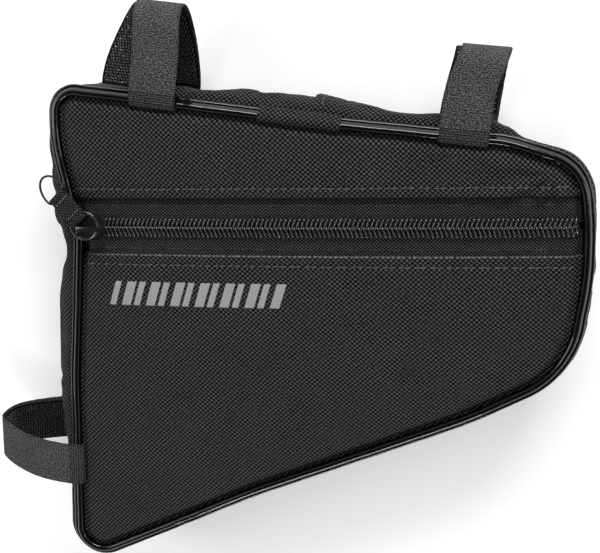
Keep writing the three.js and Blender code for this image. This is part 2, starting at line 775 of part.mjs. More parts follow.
const to_solid = (geometry) => {
  const index = geometry.index ? Array.from(geometry.index.array) : null;
  const position = geometry.attributes.position;
  const seen = new Map();
  const points = [];
  const number_of = (i) => {
    const p = [position.getX(i), position.getY(i), position.getZ(i)];
    const key = p.map((v) => Math.round(v * 10000)).join(',');
    if (!seen.has(key)) {
      seen.set(key, points.length / 3);
      points.push(...p);
    }
    return seen.get(key);
  };
  const corners = index || Array.from({ length: position.count }, (unused, i) => i);
  const triVerts = new Uint32Array(corners.map(number_of));
  return new wasm.Manifold(new wasm.Mesh({ numProp: 3, vertProperties: new Float32Array(points), triVerts }));
};

const from_solid = (solid) => {
  const mesh = solid.getMesh();
  const geometry = new THREE.BufferGeometry();
  geometry.setAttribute('position', new THREE.Float32BufferAttribute(mesh.vertProperties, 3));
  geometry.setIndex(Array.from(mesh.triVerts));
  geometry.computeVertexNormals();
  return geometry;
};

const block = (x0, x1, y0, y1, z0, z1) => to_solid(
  new THREE.BoxGeometry(x1 - x0, y1 - y0, z1 - z0).translate((x0 + x1) / 2, (y0 + y1) / 2, (z0 + z1) / 2),
);

// Flat plate with rounded corners, centred on the zip line
function rounded_plate(x0, x1, width, corner, z0, z1) {
  const half = width / 2;
  const shape = new THREE.Shape();
  shape.absarc(x1 - corner, half - corner, corner, 0, Math.PI / 2, false);
  shape.absarc(x0 + corner, half - corner, corner, Math.PI / 2, Math.PI, false);
  shape.absarc(x0 + corner, -half + corner, corner, Math.PI, Math.PI * 1.5, false);
  shape.absarc(x1 - corner, -half + corner, corner, Math.PI * 1.5, Math.PI * 2, false);
  const plate = new THREE.ExtrudeGeometry(shape, { depth: z1 - z0, bevelEnabled: false, curveSegments: 3 });
  return to_solid(plate.translate(0, zip_middle, z0));
}

// Slider: two plates on a neck, side walls beside the coil and a bridge on top
function zip_slider() {
  const [x0, x1] = [slider_x, slider_x + slider_length];
  const top_low = slider_top - slider_plate;
  const under_high = slider_base - tape_thickness - 3 * clearance;
  const under_low = under_high - slider_plate;
  const half = slider_width / 2;
  const post_high = ring_z + wire_radius + clearance;
  const bridge = [zip_middle - bridge_width / 2, zip_middle + bridge_width / 2];
  const sunk = slider_plate / 2;
  const wall_low = slider_base + 2 * clearance;
  return from_solid(rounded_plate(x0, x1, slider_width, slider_corner, top_low, slider_top)
    .add(rounded_plate(x0 + neck_start, x1, slider_width, slider_corner, under_low, under_high))
    .add(block(x0 + neck_start, x0 + neck_start + neck_length, zip_middle - neck_width / 2,
      zip_middle + neck_width / 2, under_high - sunk, top_low + sunk))
    .add(block(x0 + slider_corner, x1 - slider_corner, zip_middle - half, zip_middle - half + slider_wall,
      wall_low, top_low + sunk))
    .add(block(x0 + slider_corner, x1 - slider_corner, zip_middle + half - slider_wall, zip_middle + half,
      wall_low, top_low + sunk))
    .add(block(bridge_x0, bridge_x0 + bridge_post, ...bridge, slider_top - sunk, post_high + bridge_bar))
    .add(block(bridge_x1 - bridge_post, bridge_x1, ...bridge, slider_top - sunk, post_high + bridge_bar))
    .add(block(bridge_x0, bridge_x1, ...bridge, post_high, post_high + bridge_bar)));
}

// Back panel, flat on the floor
function back_panel() {
  const contour = outline.map((point) => {
    const inset = rim_inset + tuck_at(share_of(point));
    return new THREE.Vector2(point.x - point.nx * inset, point.y - point.ny * inset);
  });
  return new THREE.ExtrudeGeometry(new THREE.Shape(contour), { depth: back_thickness, bevelEnabled: false });
}

// Materials
const cloth = { color: 0x1d1d1f, roughness: 0.85, metalness: 0 };
const webbing = { color: 0x3c3c3e, roughness: 0.95, metalness: 0 };
const hooks = { color: 0x141415, roughness: 0.8, metalness: 0 };
const vinyl = { color: 0x0b0b0c, roughness: 0.25, metalness: 0 };
const tape = { color: 0x202022, roughness: 0.9, metalness: 0 };
const nylon = { color: 0x111112, roughness: 0.35, metalness: 0 };
const metal = { color: 0x0e0e0f, roughness: 0.35, metalness: 0.6 };

const group = new THREE.Group();
group.name = 'bicycle_frame_bag';

function add_piece(name, geometry, material) {
  const mesh = new THREE.Mesh(geometry, new THREE.MeshStandardMaterial(material));
  mesh.name = name;
  group.add(mesh);
}

const half_hem = hem_spacing / 2;
add_piece('front_panel_lower', front_panel(zip_middle - half_hem, lower_rows), cloth);
add_piece('front_panel_upper', front_panel(zip_middle + half_hem, upper_rows), cloth);
add_piece('back_panel', back_panel(), cloth);
add_piece('gusset', gusset(), cloth);
add_piece('front_piping', around_seam(piping_section, front_bead_z, 1), vinyl);
add_piece('back_piping', around_seam(piping_section, back_bead_z, -1), vinyl);
add_piece('piping_wrap', piping_wrap(), cloth);
add_piece('zip_tape_upper', zip_tape(1), tape);
add_piece('zip_tape_lower', zip_tape(-1), tape);
add_piece('zip_coil_upper', zip_coil(1), nylon);
add_piece('zip_coil_lower', zip_coil(-1), nylon);
add_piece('zip_slider', zip_slider(), metal);
add_piece('zip_pull_ring', pull_ring(), metal);
add_piece('pull_tab', pull_tab(), webbing);
add_piece('pull_cord', pull_cord(), nylon);
strap_table.forEach((row, i) => {
  add_piece(`${row[0]}_loop`, strap_loop(row, arch_table[i]), webbing);
  add_piece(`${row[0]}_hook`, strap_hook(row, arch_table[i]), hooks);
});

// Origin under the middle of the whole bag, straps included
const bounds = new THREE.Box3().setFromObject(group);
const middle = bounds.getCenter(new THREE.Vector3());
group.children.forEach((mesh) => mesh.geometry.translate(-middle.x, -middle.y, -bounds.min.z));

export default group;
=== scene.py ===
import math

import bmesh
import bpy
import numpy as np
from mathutils import Matrix, Vector, noise
from mathutils.bvhtree import BVHTree


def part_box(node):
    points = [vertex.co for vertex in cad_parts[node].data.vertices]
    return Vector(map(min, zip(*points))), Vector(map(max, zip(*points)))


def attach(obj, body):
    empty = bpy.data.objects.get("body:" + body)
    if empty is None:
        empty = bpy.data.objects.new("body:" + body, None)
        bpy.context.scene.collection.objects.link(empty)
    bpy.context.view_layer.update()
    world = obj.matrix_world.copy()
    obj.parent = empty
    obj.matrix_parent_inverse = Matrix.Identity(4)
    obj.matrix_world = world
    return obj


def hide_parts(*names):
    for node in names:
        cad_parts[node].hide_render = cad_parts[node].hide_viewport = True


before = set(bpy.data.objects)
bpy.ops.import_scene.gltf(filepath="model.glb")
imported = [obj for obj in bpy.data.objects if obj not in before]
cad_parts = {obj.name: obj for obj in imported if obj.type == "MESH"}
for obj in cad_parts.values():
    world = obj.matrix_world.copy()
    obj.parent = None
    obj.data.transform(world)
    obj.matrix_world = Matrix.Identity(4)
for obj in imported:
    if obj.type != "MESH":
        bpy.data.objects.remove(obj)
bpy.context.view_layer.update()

# Sizes are in millimetres about the front seam, and pieces are moved to the frame in metres.
MM = 0.001
ROUND = 2 * math.pi
MERGE_DISTANCE = 2e-6

# Sizes shared with the solids
CLEARANCE = 0.3
SEAM_LENGTH = 284.0
SEAM_HEIGHT = 266.0
SEAM_SPACING = 50.8
# Columns: place across and up as shares of half the length and the height, radius as a share of the height
SEAM_CORNERS = [
    (-0.949, 1.007, 0.041), (-0.964, 0.807, 0.385), (-0.896, 0.424, 0.226),
    (-0.963, -0.221, 0.899), (-1.007, -1.076, 0.050), (-0.249, -0.696, 0.679),
    (0.576, -0.339, 0.709), (0.948, -0.131, 0.183), (1.011, 0.332, 0.735),
    (0.970, 0.680, 0.092), (0.715, 0.773, 0.246), (0.124, 0.844, 0.898),
]
BEAD_RADIUS = 1.8
RIDGE_RADIUS = 1.3
RIDGE_REACH = 2.9
RIDGE_DROP = 1.8
BACK_BEAD_Z = 2.2
FRONT_BEAD_Z = BACK_BEAD_Z + SEAM_SPACING
PANEL_THICKNESS = 1.6
DOME_HEIGHT = 5.0
RIM_INSET = BEAD_RADIUS + CLEARANCE
RIM_WIDTH = 5.2
GUSSET_THICKNESS = 1.6
GUSSET_BULGE = 15.0
BULGE_SKEW = 0.52
LAP_X = 1.5
LAP_WIDTH = 12.0
LAP_RAMP = 9.0
# Columns: share of the way round, share of the bulge
BULGE_TABLE = [
    (0.000, 0.64), (0.035, 0.58), (0.075, 0.42), (0.095, 0.30), (0.112, 0.10),
    (0.130, 0.02), (0.145, 0.06), (0.158, 0.24), (0.178, 0.43),
    (0.196, 0.66), (0.212, 0.89), (0.226, 0.74), (0.238, 0.60), (0.252, 0.78), (0.270, 0.85),
    (0.295, 0.82), (0.320, 0.76), (0.345, 0.68), (0.370, 0.45), (0.395, 0.40), (0.420, 0.42),
    (0.445, 0.16), (0.500, 0.24), (0.640, 0.26), (0.720, 0.20), (0.800, 0.22), (0.850, 0.20),
    (0.885, 0.08), (0.895, 0.36), (0.905, 0.54), (0.925, 0.50), (0.950, 0.48),
    (0.970, 0.57), (0.985, 0.57), (1.000, 0.64),
]
BACK_TUCK = 3.0
# Columns: share of the way round, share of the tuck
TUCK_TABLE = [
    (0.0000, 0.00), (0.8500, 0.00), (0.8680, 0.90), (0.8800, 1.00),
    (0.8920, 0.85), (0.9025, 0.00), (1.0000, 0.00),
]
ZIP_MIDDLE = 60.6
HEM_SPACING = 29.8
HEM_COVER = 5.0
TAPE_THICKNESS = 0.9
TAPE_SPLIT = 3.2
COIL_WIDTH = 10.2
COIL_HEIGHT = 2.5
SLIDER_LENGTH = 14.2
SLIDER_PLACE = 17.2
NECK_START = 5.2
NECK_LENGTH = 2.6
COIL_END_ROOM = 0.4
BRIDGE_POST = 1.4
BRIDGE_INSET = 0.4
RING_RADIUS = 7.3
RING_FLAT = 4.6
RING_RISE = 1.6
WIRE_RADIUS = 0.7
TAB_ANGLE = math.radians(134)
TAB_PITCH = math.radians(11)
TAB_WIDTH = 11.0
TAB_LENGTH = 17.0
TAB_LAYER = 0.46
TAB_GAP = 0.62
TAB_SEAMS = (3.6, TAB_LENGTH - 3.4)
CORD_RADIUS = 0.6
CORD_LOOP_WIDTH = 13.6
CORD_LOOP_LENGTH = 13.5
WRAP_THICKNESS = 0.8
WRAP_LENGTH = 43.0
WRAP_START = 15.5
WRAP_END_ANGLE = -20
STRAP_WIDTH = 25.0
STRAP_THICKNESS = 1.2
STRAP_ROOT_ANGLE = 190
STRAP_REACH = 55.0
# Columns: name, share of the way round at its middle, share of the reach, loop tape's shift at the crest
# and the back seam, hook tape's shift at its free end, crest and back seam, start of the free end
STRAP_TABLE = [
    ("top_strap_left", 0.0894, 0.927, 0.16, 0.00, 0.60, 0.22, 0.00, 0.118),
    ("top_strap_right", 0.9169, 0.836, -0.26, -0.26, -0.08, -0.14, 0.02, 0.255),
    ("side_strap", 0.3703, 1.051, -0.16, -0.43, 0.04, -0.14, -0.34, 0.291),
]
# Columns: height of the crest, roundness to the front and the back of it, share of the reach that the
# front and the back leg keep their direction for, lift of the front and the back leg
ARCH_TABLE = [
    (0.62, 0.80, 0.50, 0.45, 0.30, 0.036, 0.018),
    (0.62, 0.80, 0.50, 0.45, 0.30, 0.036, 0.018),
    (0.47, 0.52, 0.62, 0.34, 0.88, 0.000, 0.076),
]
HEM_LOW = ZIP_MIDDLE - HEM_SPACING / 2
HEM_HIGH = ZIP_MIDDLE + HEM_SPACING / 2
TAPE_DROP = PANEL_THICKNESS + CLEARANCE
HEM_SEWN = 5.6
TAPE_SEWN = 11.6
# Steps of the seam line here, and those that the solids have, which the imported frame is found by
FINE_ARC_STEP = math.radians(1.5)
FINE_LINE_STEP = 1.3
SOLID_ARC_STEP = math.radians(17)
SOLID_LINE_STEP = 17.0


def mix(a, b, t):
    return a + (b - a) * t


def table_value(rows, position):
    """Value read from a table, eased between its rows."""
    rows = np.array(rows)
    position = np.asarray(position, float)
    i = np.clip(np.searchsorted(rows[:, 0], position, side="right") - 1, 0, len(rows) - 2)
    t = np.clip((position - rows[i, 0]) / (rows[i + 1, 0] - rows[i, 0]), 0, 1)
    return mix(rows[i, 1], rows[i + 1, 1], t * t * (3 - 2 * t))


def limited(value):
    """Value kept between 0 and 1."""
    return np.clip(value, 0, 1)


def bell(value, middle, width):
    """Smooth hump of height 1 about a middle."""
    return np.exp(-((value - middle) / width) ** 2)


def rolled(share):
    """Drop of a rounded edge, from 1 at the edge to 0 at a share of 1."""
    return 1 - np.sqrt(1 - (1 - share) ** 2)


def run_along(path):
    """Distance of each point of a flat path from its start."""
    return np.concatenate([[0], np.cumsum(np.hypot(*np.diff(path, axis=0).T))])


def cloth_uv(along, across):
    """Place on the cloth for each point of a grid, in millimetres."""
    return np.stack(np.broadcast_arrays(along, across), -1).reshape(-1, 2)


def wave(x, y, z, seed):
    """Smooth noise at each point, from -1 to 1."""
    x, y, z = np.broadcast_arrays(x, y, z)
    flat = [noise.noise(Vector((a, b, c + seed * 7.3))) for a, b, c in zip(x.ravel(), y.ravel(), z.ravel())]
    return np.array(flat).reshape(x.shape)


# Seam line
def seam_outline(arc_step, line_step):
    corners = [(u * SEAM_LENGTH / 2, v * SEAM_HEIGHT / 2, r * SEAM_HEIGHT) for u, v, r in SEAM_CORNERS]
    points = []
    for i, (x, y, radius) in enumerate(corners):
        before = corners[i - 1]
        after = corners[(i + 1) % len(corners)]
        start = math.atan2(y - before[1], x - before[0])
        turn = (math.atan2(after[1] - y, after[0] - x) - start + math.pi) % ROUND - math.pi
        cut = abs(radius * math.tan(turn / 2))
        side = math.copysign(1, turn)
        cx = x - cut * math.cos(start) - side * radius * math.sin(start)
        cy = y - cut * math.sin(start) + side * radius * math.cos(start)
        steps = max(1, math.ceil(abs(turn) / arc_step))
        for k in range(steps + 1):
            h = start + turn * k / steps
            points.append((cx + side * radius * math.sin(h), cy - side * radius * math.cos(h),
                           math.sin(h), -math.cos(h)))
    line = []
    for a, b in zip(points, points[1:] + points[:1]):
        steps = max(1, round(math.hypot(b[0] - a[0], b[1] - a[1]) / line_step))
        for k in range(steps):
            x, y, nx, ny = (mix(p, q, k / steps) for p, q in zip(a, b))
            size = math.hypot(nx, ny)
            line.append((x, y, nx / size, ny / size))
    return np.array(line)


SEAM = seam_outline(FINE_ARC_STEP, FINE_LINE_STEP)
step = np.hypot(*(np.roll(SEAM[:, :2], -1, 0) - SEAM[:, :2]).T)
SEAM_RUN = np.concatenate([[0], np.cumsum(step)])
SEAM_TOTAL = SEAM_RUN[-1]
over = [i for i in range(len(SEAM) - 1) if SEAM[i, 3] > 0.9 and SEAM[i, 0] > LAP_X >= SEAM[i + 1, 0]][0]
LAP_RUN = mix(SEAM_RUN[over], SEAM_RUN[over + 1],
              (LAP_X - SEAM[over, 0]) / (SEAM[over + 1, 0] - SEAM[over, 0]))


def seam_at(share):
    """Points of the seam and their outward directions, at shares of the way round from the lap."""
    run = (np.asarray(share, float) * SEAM_TOTAL + LAP_RUN) % SEAM_TOTAL
    closed = np.vstack([SEAM, SEAM[:1]])
    x, y, nx, ny = (np.interp(run, SEAM_RUN, closed[:, k]) for k in range(4))
    size = np.hypot(nx, ny)
    return x, y, nx / size, ny / size


SEAM_SHARE = (SEAM_RUN[:-1] - LAP_RUN) / SEAM_TOTAL % 1


def tuck_at(share):
    """How far the back seam is drawn in at shares of the way round, round the upper right corner."""
    return BACK_TUCK * table_value(TUCK_TABLE, share)


def seam_distance(x, y):
    x, y = np.asarray(x, float), np.asarray(y, float)
    flat = np.stack([x.ravel(), y.ravel()], 1)
    a = SEAM[::2, :2]
    b = np.roll(a, -1, 0)
    ab = b - a
    best = np.empty(len(flat))
    for i in range(0, len(flat), 4000):
        p = flat[i:i + 4000, None, :]
        t = np.clip(((p - a) * ab).sum(2) / (ab ** 2).sum(1), 0, 1)
        best[i:i + 4000] = np.sqrt(((a + t[..., None] * ab - p) ** 2).sum(2).min(1))
    return best.reshape(x.shape)


def inside_seam(x, y):
    x, y = np.asarray(x, float)[..., None], np.asarray(y, float)[..., None]
    ax, ay = SEAM[:, 0], SEAM[:, 1]
    bx, by = np.roll(ax, -1), np.roll(ay, -1)
    rise = np.where(by == ay, 1.0, by - ay)
    crossed = ((ay > y) != (by > y)) & (x < ax + (bx - ax) * (y - ay) / rise)
    return crossed.sum(-1) % 2 == 1


HALVINGS = 22


def row_end(y, distance, side):
    """X of the place in a row at a given distance from the seam."""
    near, far = 0.0, side * SEAM_LENGTH / 2
    for _ in range(HALVINGS):
        x = (near + far) / 2
        point = (np.array([x]), np.array([y]))
        if inside_seam(*point)[0] and seam_distance(*point)[0] > distance:
            near = x
        else:
            far = x
    return near


RIM_CURVE = [(-9, -1.0), (1.8, -1.0), (2.3, -0.85), (2.8, -0.3), (3.2, 0.3), (3.7, 1.0), (4.3, 1.6),
             (5.2, 2.1), (6.5, 2.45), (9, 2.65), (300, 2.65)]


def front_height(x, y, inset=None):
    """Top of the front cloth: a groove at the seam, a rounded rim, then a shallow dome."""
    if inset is None:
        inset = seam_distance(x, y) - RIM_INSET
    rim = np.interp(inset, *np.array(RIM_CURVE).T)
    share = (x + SEAM_LENGTH / 2) / SEAM_LENGTH
    top = mix(SEAM_CORNERS[0][1], SEAM_CORNERS[10][1], share) * SEAM_HEIGHT / 2
    low = mix(SEAM_CORNERS[4][1], SEAM_CORNERS[7][1], share) * SEAM_HEIGHT / 2
    along = 2 * share - 1
    across = 2 * (y - low) / (top - low) - 1
    dome = np.clip(1 - along ** 2, 0, 1) * np.clip(1 - across ** 2, 0, 1)
    return FRONT_BEAD_Z + rim + DOME_HEIGHT * dome * np.clip(inset / RIM_WIDTH, 0, 1)


# Shift from the seam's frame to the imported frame, read from the back panel's corner
coarse = seam_outline(SOLID_ARC_STEP, SOLID_LINE_STEP)
edge = coarse[:, :2] - coarse[:, 2:] * RIM_INSET
low_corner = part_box("back_panel")[0]
SHIFT = np.array([low_corner[0] / MM - edge[:, 0].min(), low_corner[1] / MM - edge[:, 1].min(), 0.0])


# Mesh helpers
def grid_faces(rows, columns, wrap_rows=False, wrap_columns=False, first=0):
    i = np.arange(rows if wrap_rows else rows - 1)[:, None]
    k = np.arange(columns if wrap_columns else columns - 1)[None, :]
    i2, k2 = (i + 1) % rows, (k + 1) % columns
    quads = np.stack([i * columns + k, i2 * columns + k, i2 * columns + k2, i * columns + k2], -1)
    return (quads.reshape(-1, 4) + first).tolist()


def rim_numbers(rows, columns):
    top = np.arange(columns)
    right = np.arange(1, rows) * columns + columns - 1
    low = (rows - 1) * columns + np.arange(columns - 2, -1, -1)
    left = np.arange(rows - 2, 0, -1) * columns
    return np.concatenate([top, right, low, left])


def shell(top, bottom):
    """Closed body from two grids of points with the same layout."""
    rows, columns = top.shape[:2]
    count = rows * columns
    faces = grid_faces(rows, columns)
    faces += [f[::-1] for f in grid_faces(rows, columns, first=count)]
    rim = rim_numbers(rows, columns)
    after = np.roll(rim, -1)
    faces += [[int(b), int(a), int(a) + count, int(b) + count] for a, b in zip(rim, after)]
    return np.concatenate([top.reshape(-1, 3), bottom.reshape(-1, 3)]), faces


def swept(sections, closed):
    """Body from rows of section points, joined end to end or closed by caps."""
    rows, columns = sections.shape[:2]
    faces = grid_faces(rows, columns, wrap_rows=closed, wrap_columns=True)
    if not closed:
        faces.append(list(range(columns))[::-1])
        faces.append([(rows - 1) * columns + k for k in range(columns)])
    return sections.reshape(-1, 3), faces


def linked(name, data):
    """Object in the scene from its data."""
    made = bpy.data.objects.new(name, data)
    bpy.context.scene.collection.objects.link(made)
    return made


def piece(name, points, faces, material, nodes=(), uv=None, around=None, sharp=None, merge=False):
    """Piece of the object from points in millimetres about the seam."""
    mesh = bpy.data.meshes.new(name)
    mesh.from_pydata(((np.asarray(points, float) + SHIFT) * MM).tolist(), [], faces)
    if uv is not None:
        layer = mesh.uv_layers.new(name="cloth")
        corner = np.zeros(len(mesh.loops), np.int64)
        mesh.loops.foreach_get("vertex_index", corner)
        values = np.asarray(uv, float).reshape(-1, 2)[corner]
        if around:
            start = np.zeros(len(mesh.polygons), np.int64)
            mesh.polygons.foreach_get("loop_start", start)
            owner = np.searchsorted(start, np.arange(len(corner)), side="right") - 1
            high = np.maximum.reduceat(values[:, 0], start)[owner]
            values[:, 0] += around * (high - values[:, 0] > around / 2)
        layer.uv.foreach_set("vector", values.astype(np.float32).ravel())
    work = bmesh.new()
    work.from_mesh(mesh)
    if merge:
        bmesh.ops.remove_doubles(work, verts=work.verts, dist=MERGE_DISTANCE)
        bmesh.ops.dissolve_degenerate(work, edges=work.edges, dist=1e-7)
    if work.calc_volume(signed=True) < 0:
        bmesh.ops.reverse_faces(work, faces=work.faces)
    work.to_mesh(mesh)
    work.free()
    mesh.shade_smooth()
    if sharp:
        mesh.set_sharp_from_angle(angle=math.radians(sharp))
    mesh.materials.append(material)
    made = linked(name, mesh)
    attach(made, "root")
    if nodes:
        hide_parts(*nodes)
    return made


# Materials
COOL_TINT = 1.03


class Shader:
    """Short way to write a material's nodes."""

    def __init__(self, name):
        self.material = bpy.data.materials.new(name)
        self.material.use_nodes = True
        self.nodes = self.material.node_tree.nodes
        self.links = self.material.node_tree.links
        self.principled = self.nodes["Principled BSDF"]

    def put(self, socket, value):
        if isinstance(value, bpy.types.NodeSocket):
            self.links.new(value, socket)
        elif value is not None:
            socket.default_value = value

    def node(self, kind, inputs=(), **settings):
        made = self.nodes.new(kind)
        for key, value in settings.items():
            setattr(made, key, value)
        for key, value in dict(inputs).items():
            self.put(made.inputs[key], value)
        return made

    def math(self, operation, a, b=None, c=None, clamp=False):
        made = self.nodes.new("ShaderNodeMath")
        made.operation = operation
        made.use_clamp = clamp
        for socket, value in zip(made.inputs, (a, b, c)):
            self.put(socket, value)
        return made.outputs[0]

    def times(self, a, b):
        return self.math("MULTIPLY", a, b)

    def less(self, a, b):
        return self.math("SUBTRACT", a, b)

    def scaled(self, a, by, plus, clamp=False):
        """Number a times one number plus another."""
        return self.math("MULTIPLY_ADD", a, by, plus, clamp)

    def mixed(self, share, a, b):
        """Numbers a and b mixed by a share."""
        made = self.node("ShaderNodeMix", data_type="FLOAT")
        for key, value in ((0, share), (2, a), (3, b)):
            self.put(made.inputs[key], value)
        return made.outputs[0]

    def grey(self, value):
        """Neutral colour from a number."""
        made = self.node("ShaderNodeCombineColor")
        self.put(made.inputs[0], value)
        self.put(made.inputs[1], value)
        self.put(made.inputs[2], self.times(value, COOL_TINT))
        return made.outputs[0]

    def cloth_place(self):
        """Place on the cloth in millimetres: along and across."""
        place = self.node("ShaderNodeUVMap", uv_map="cloth").outputs[0]
        split = self.node("ShaderNodeSeparateXYZ", {0: place})
        return place, split.outputs[0], split.outputs[1]

    def object_place(self):
        return self.node("ShaderNodeTexCoord").outputs["Object"]

    def noise(self, place, scale, detail=2.0, roughness=0.5):
        return self.node("ShaderNodeTexNoise", {
            "Vector": place, "Scale": scale, "Detail": detail, "Roughness": roughness}).outputs[0]

    def bump(self, height, distance, strength=1.0):
        return self.node("ShaderNodeBump", {
            "Height": height, "Distance": distance, "Strength": strength}).outputs[0]

    def finish(self, colour, roughness, normal=None, **fixed):
        self.put(self.principled.inputs["Base Color"], colour)
        self.put(self.principled.inputs["Roughness"], roughness)
        self.put(self.principled.inputs["Normal"], normal)
        for key, value in fixed.items():
            socket = key.replace("_", " ").title().replace("Ior", "IOR")
            self.principled.inputs[socket].default_value = value
        return self.material


def woven(name, pitch, low, float_side_shade, float_crown_sheen, roughness, depth, sparkle=0.0, crease=None):
    """Plain weave: plump floats with sunken crossings between them, with painted sheen on the floats' crowns
    and painted shade on their sides and in the crossings.
    """
    wobble, cloud = 0.12, 0.25
    s = Shader(name)
    place, along, across = s.cloth_place()
    drift = s.noise(place, 0.45, 2.0)
    drift2 = s.noise(place, 0.31, 2.0)
    u = s.scaled(s.less(drift, 0.5), wobble * pitch[0] * 6, along)
    v = s.scaled(s.less(drift2, 0.5), wobble * pitch[1] * 6, across)
    wave_u = s.math("SINE", s.times(u, math.pi / pitch[0]))
    wave_v = s.math("SINE", s.times(v, math.pi / pitch[1]))
    product = s.times(wave_u, wave_v)
    yarn = s.noise(place, 1.9 / pitch[0], 3.0, 0.7)
    ragged = s.scaled(s.less(yarn, 0.5), 1.1, product)
    float_mask = s.scaled(ragged, 2.4, 0.95, clamp=True)
    plump = s.math("POWER", s.math("ABSOLUTE", product), 0.5)
    height = s.mixed(float_mask, s.times(plump, -0.5), plump)
    patch = s.noise(place, 0.035, 3.0, 0.6)
    # Painted light: the floats' crowns are painted lighter as sheen, and their sides and the sunken crossings
    # are painted dark as shade
    tone = s.mixed(float_mask, low, s.mixed(plump, float_side_shade, float_crown_sheen))
    tone = s.times(tone, s.scaled(yarn, 1.3, 0.35))
    tone = s.times(tone, s.scaled(patch, cloud * 2, 1 - cloud))
    if sparkle:
        specks = s.noise(place, 3.1 / pitch[0], 1.0)
        tone = s.math("ADD", tone, s.times(s.math("GREATER_THAN", specks, 0.68), sparkle))
    if crease:
        # Painted highlight in broken dashes along the fold of the lower hem, and painted shade under the fold
        # of the upper one
        edge = s.math("LESS_THAN", s.math("ABSOLUTE", s.less(across, crease)), 0.45)
        wear_and_fold_highlight = s.scaled(s.noise(place, 0.35, 4.0, 0.8), 4.0, -1.6, clamp=True)
        tone = s.scaled(s.times(edge, wear_and_fold_highlight), 0.15, tone)
        shaded = s.math("LESS_THAN", s.math("ABSOLUTE", s.less(across, HEM_HIGH)), 1.1)
        tone = s.times(tone, s.scaled(shaded, -0.7, 1.0))
    fibre = s.scaled(yarn, 0.35, height)
    shine = s.scaled(yarn, 0.25, roughness - 0.12)
    return s.finish(s.grey(tone), shine, s.bump(fibre, depth * MM), specular_ior_level=0.06)


weave_pitch = (1.36, 1.24)
cloth = woven("coated_oxford_cloth", weave_pitch, 0.0003, 0.008, 0.078, 0.62, 0.6,
              sparkle=0.03, crease=HEM_LOW)
side_cloth = woven("side_oxford_cloth", weave_pitch, 0.0003, 0.008, 0.080, 0.62, 0.6, sparkle=0.02)
tape_cloth = woven("zip_tape_weave", (1.0, 0.85), 0.0005, 0.003, 0.072, 0.7, 0.3, sparkle=0.08)
tab_cloth = woven("tab_webbing", (1.1, 0.9), 0.001, 0.008, 0.048, 0.7, 0.3, sparkle=0.06)
hook_base = woven("hook_tape_ground", (0.9, 0.9), 0.0005, 0.002, 0.008, 0.7, 0.2)


def loop_tape_material():
    """Knitted loop tape: a coarse soft pile with fine ribs, flattened where it is sewn down, with painted
    shade over that root where it bends away over the piping.
    """
    s = Shader("loop_tape_pile")
    place, along, across = s.cloth_place()
    drift = s.scaled(s.noise(place, 0.3), 1.2, along)
    rib = s.math("SINE", s.times(drift, ROUND / 1.25))
    tuft = s.less(s.noise(place, 1.15, 2.0, 0.6), 0.5)
    fibre = s.less(s.noise(place, 2.7, 3.0, 0.7), 0.5)
    patch = s.noise(place, 0.06, 2.0)
    selvedge = s.math("GREATER_THAN", s.math("ABSOLUTE", across), STRAP_WIDTH / 2 - 1.1)
    sewn_root_ribs_and_shade = s.math("LESS_THAN", along, 9.5)
    grain = s.scaled(tuft, 1.6, s.times(fibre, 1.3))
    grain = s.scaled(rib, s.scaled(sewn_root_ribs_and_shade, 0.10, 0.07), grain)
    tone = s.scaled(grain, 0.30, 0.058)
    tone = s.math("MAXIMUM", tone, 0.006)
    speck = s.math("GREATER_THAN", s.noise(place, 1.6, 1.0), 0.70)
    tone = s.scaled(speck, 0.10, tone)
    tone = s.times(tone, s.scaled(patch, 0.6, 0.7))
    tone = s.times(tone, s.scaled(selvedge, -0.25, 1.0))
    # Painted shade over the sewn root of the tape, where it bends away over the piping
    tone = s.times(tone, s.scaled(sewn_root_ribs_and_shade, -0.42, 1.0))
    return s.finish(s.grey(tone), 0.92, s.bump(grain, 0.5 * MM), specular_ior_level=0.06, sheen_weight=0.03)


def vinyl_material():
    """Glossy black vinyl skin, with fine dents that break its highlights."""
    s = Shader("black_vinyl")
    place = s.object_place()
    fine = s.noise(place, 900.0, 3.0)
    broad = s.noise(place, 75.0, 3.0, 0.6)
    height = s.scaled(fine, 0.10, broad)
    tone = s.scaled(broad, 0.004, 0.001)
    rough = s.scaled(fine, 0.04, s.scaled(broad, 0.04, 0.03))
    return s.finish(s.grey(tone), rough, s.bump(height, 0.3 * MM, 0.6), specular_ior_level=0.42)


def smooth_material(name, tone, roughness, grain=1500.0, depth=0.03, wear=0.0, vary=0.6, level=0.5):
    """Moulded or painted surface with a fine grain, and paler where it is rubbed."""
    s = Shader(name)
    place = s.object_place()
    fine = s.noise(place, grain, 2.0)
    broad = s.noise(place, grain / 9, 3.0, 0.6)
    wear_and_fold_highlight = s.math("GREATER_THAN", broad, 0.62)
    value = s.times(s.scaled(fine, vary, 1 - vary / 2), tone)
    value = s.scaled(wear_and_fold_highlight, wear, value)
    rough = s.scaled(fine, 0.2, roughness - 0.1)
    return s.finish(s.grey(value), rough, s.bump(fine, depth * MM), specular_ior_level=level)


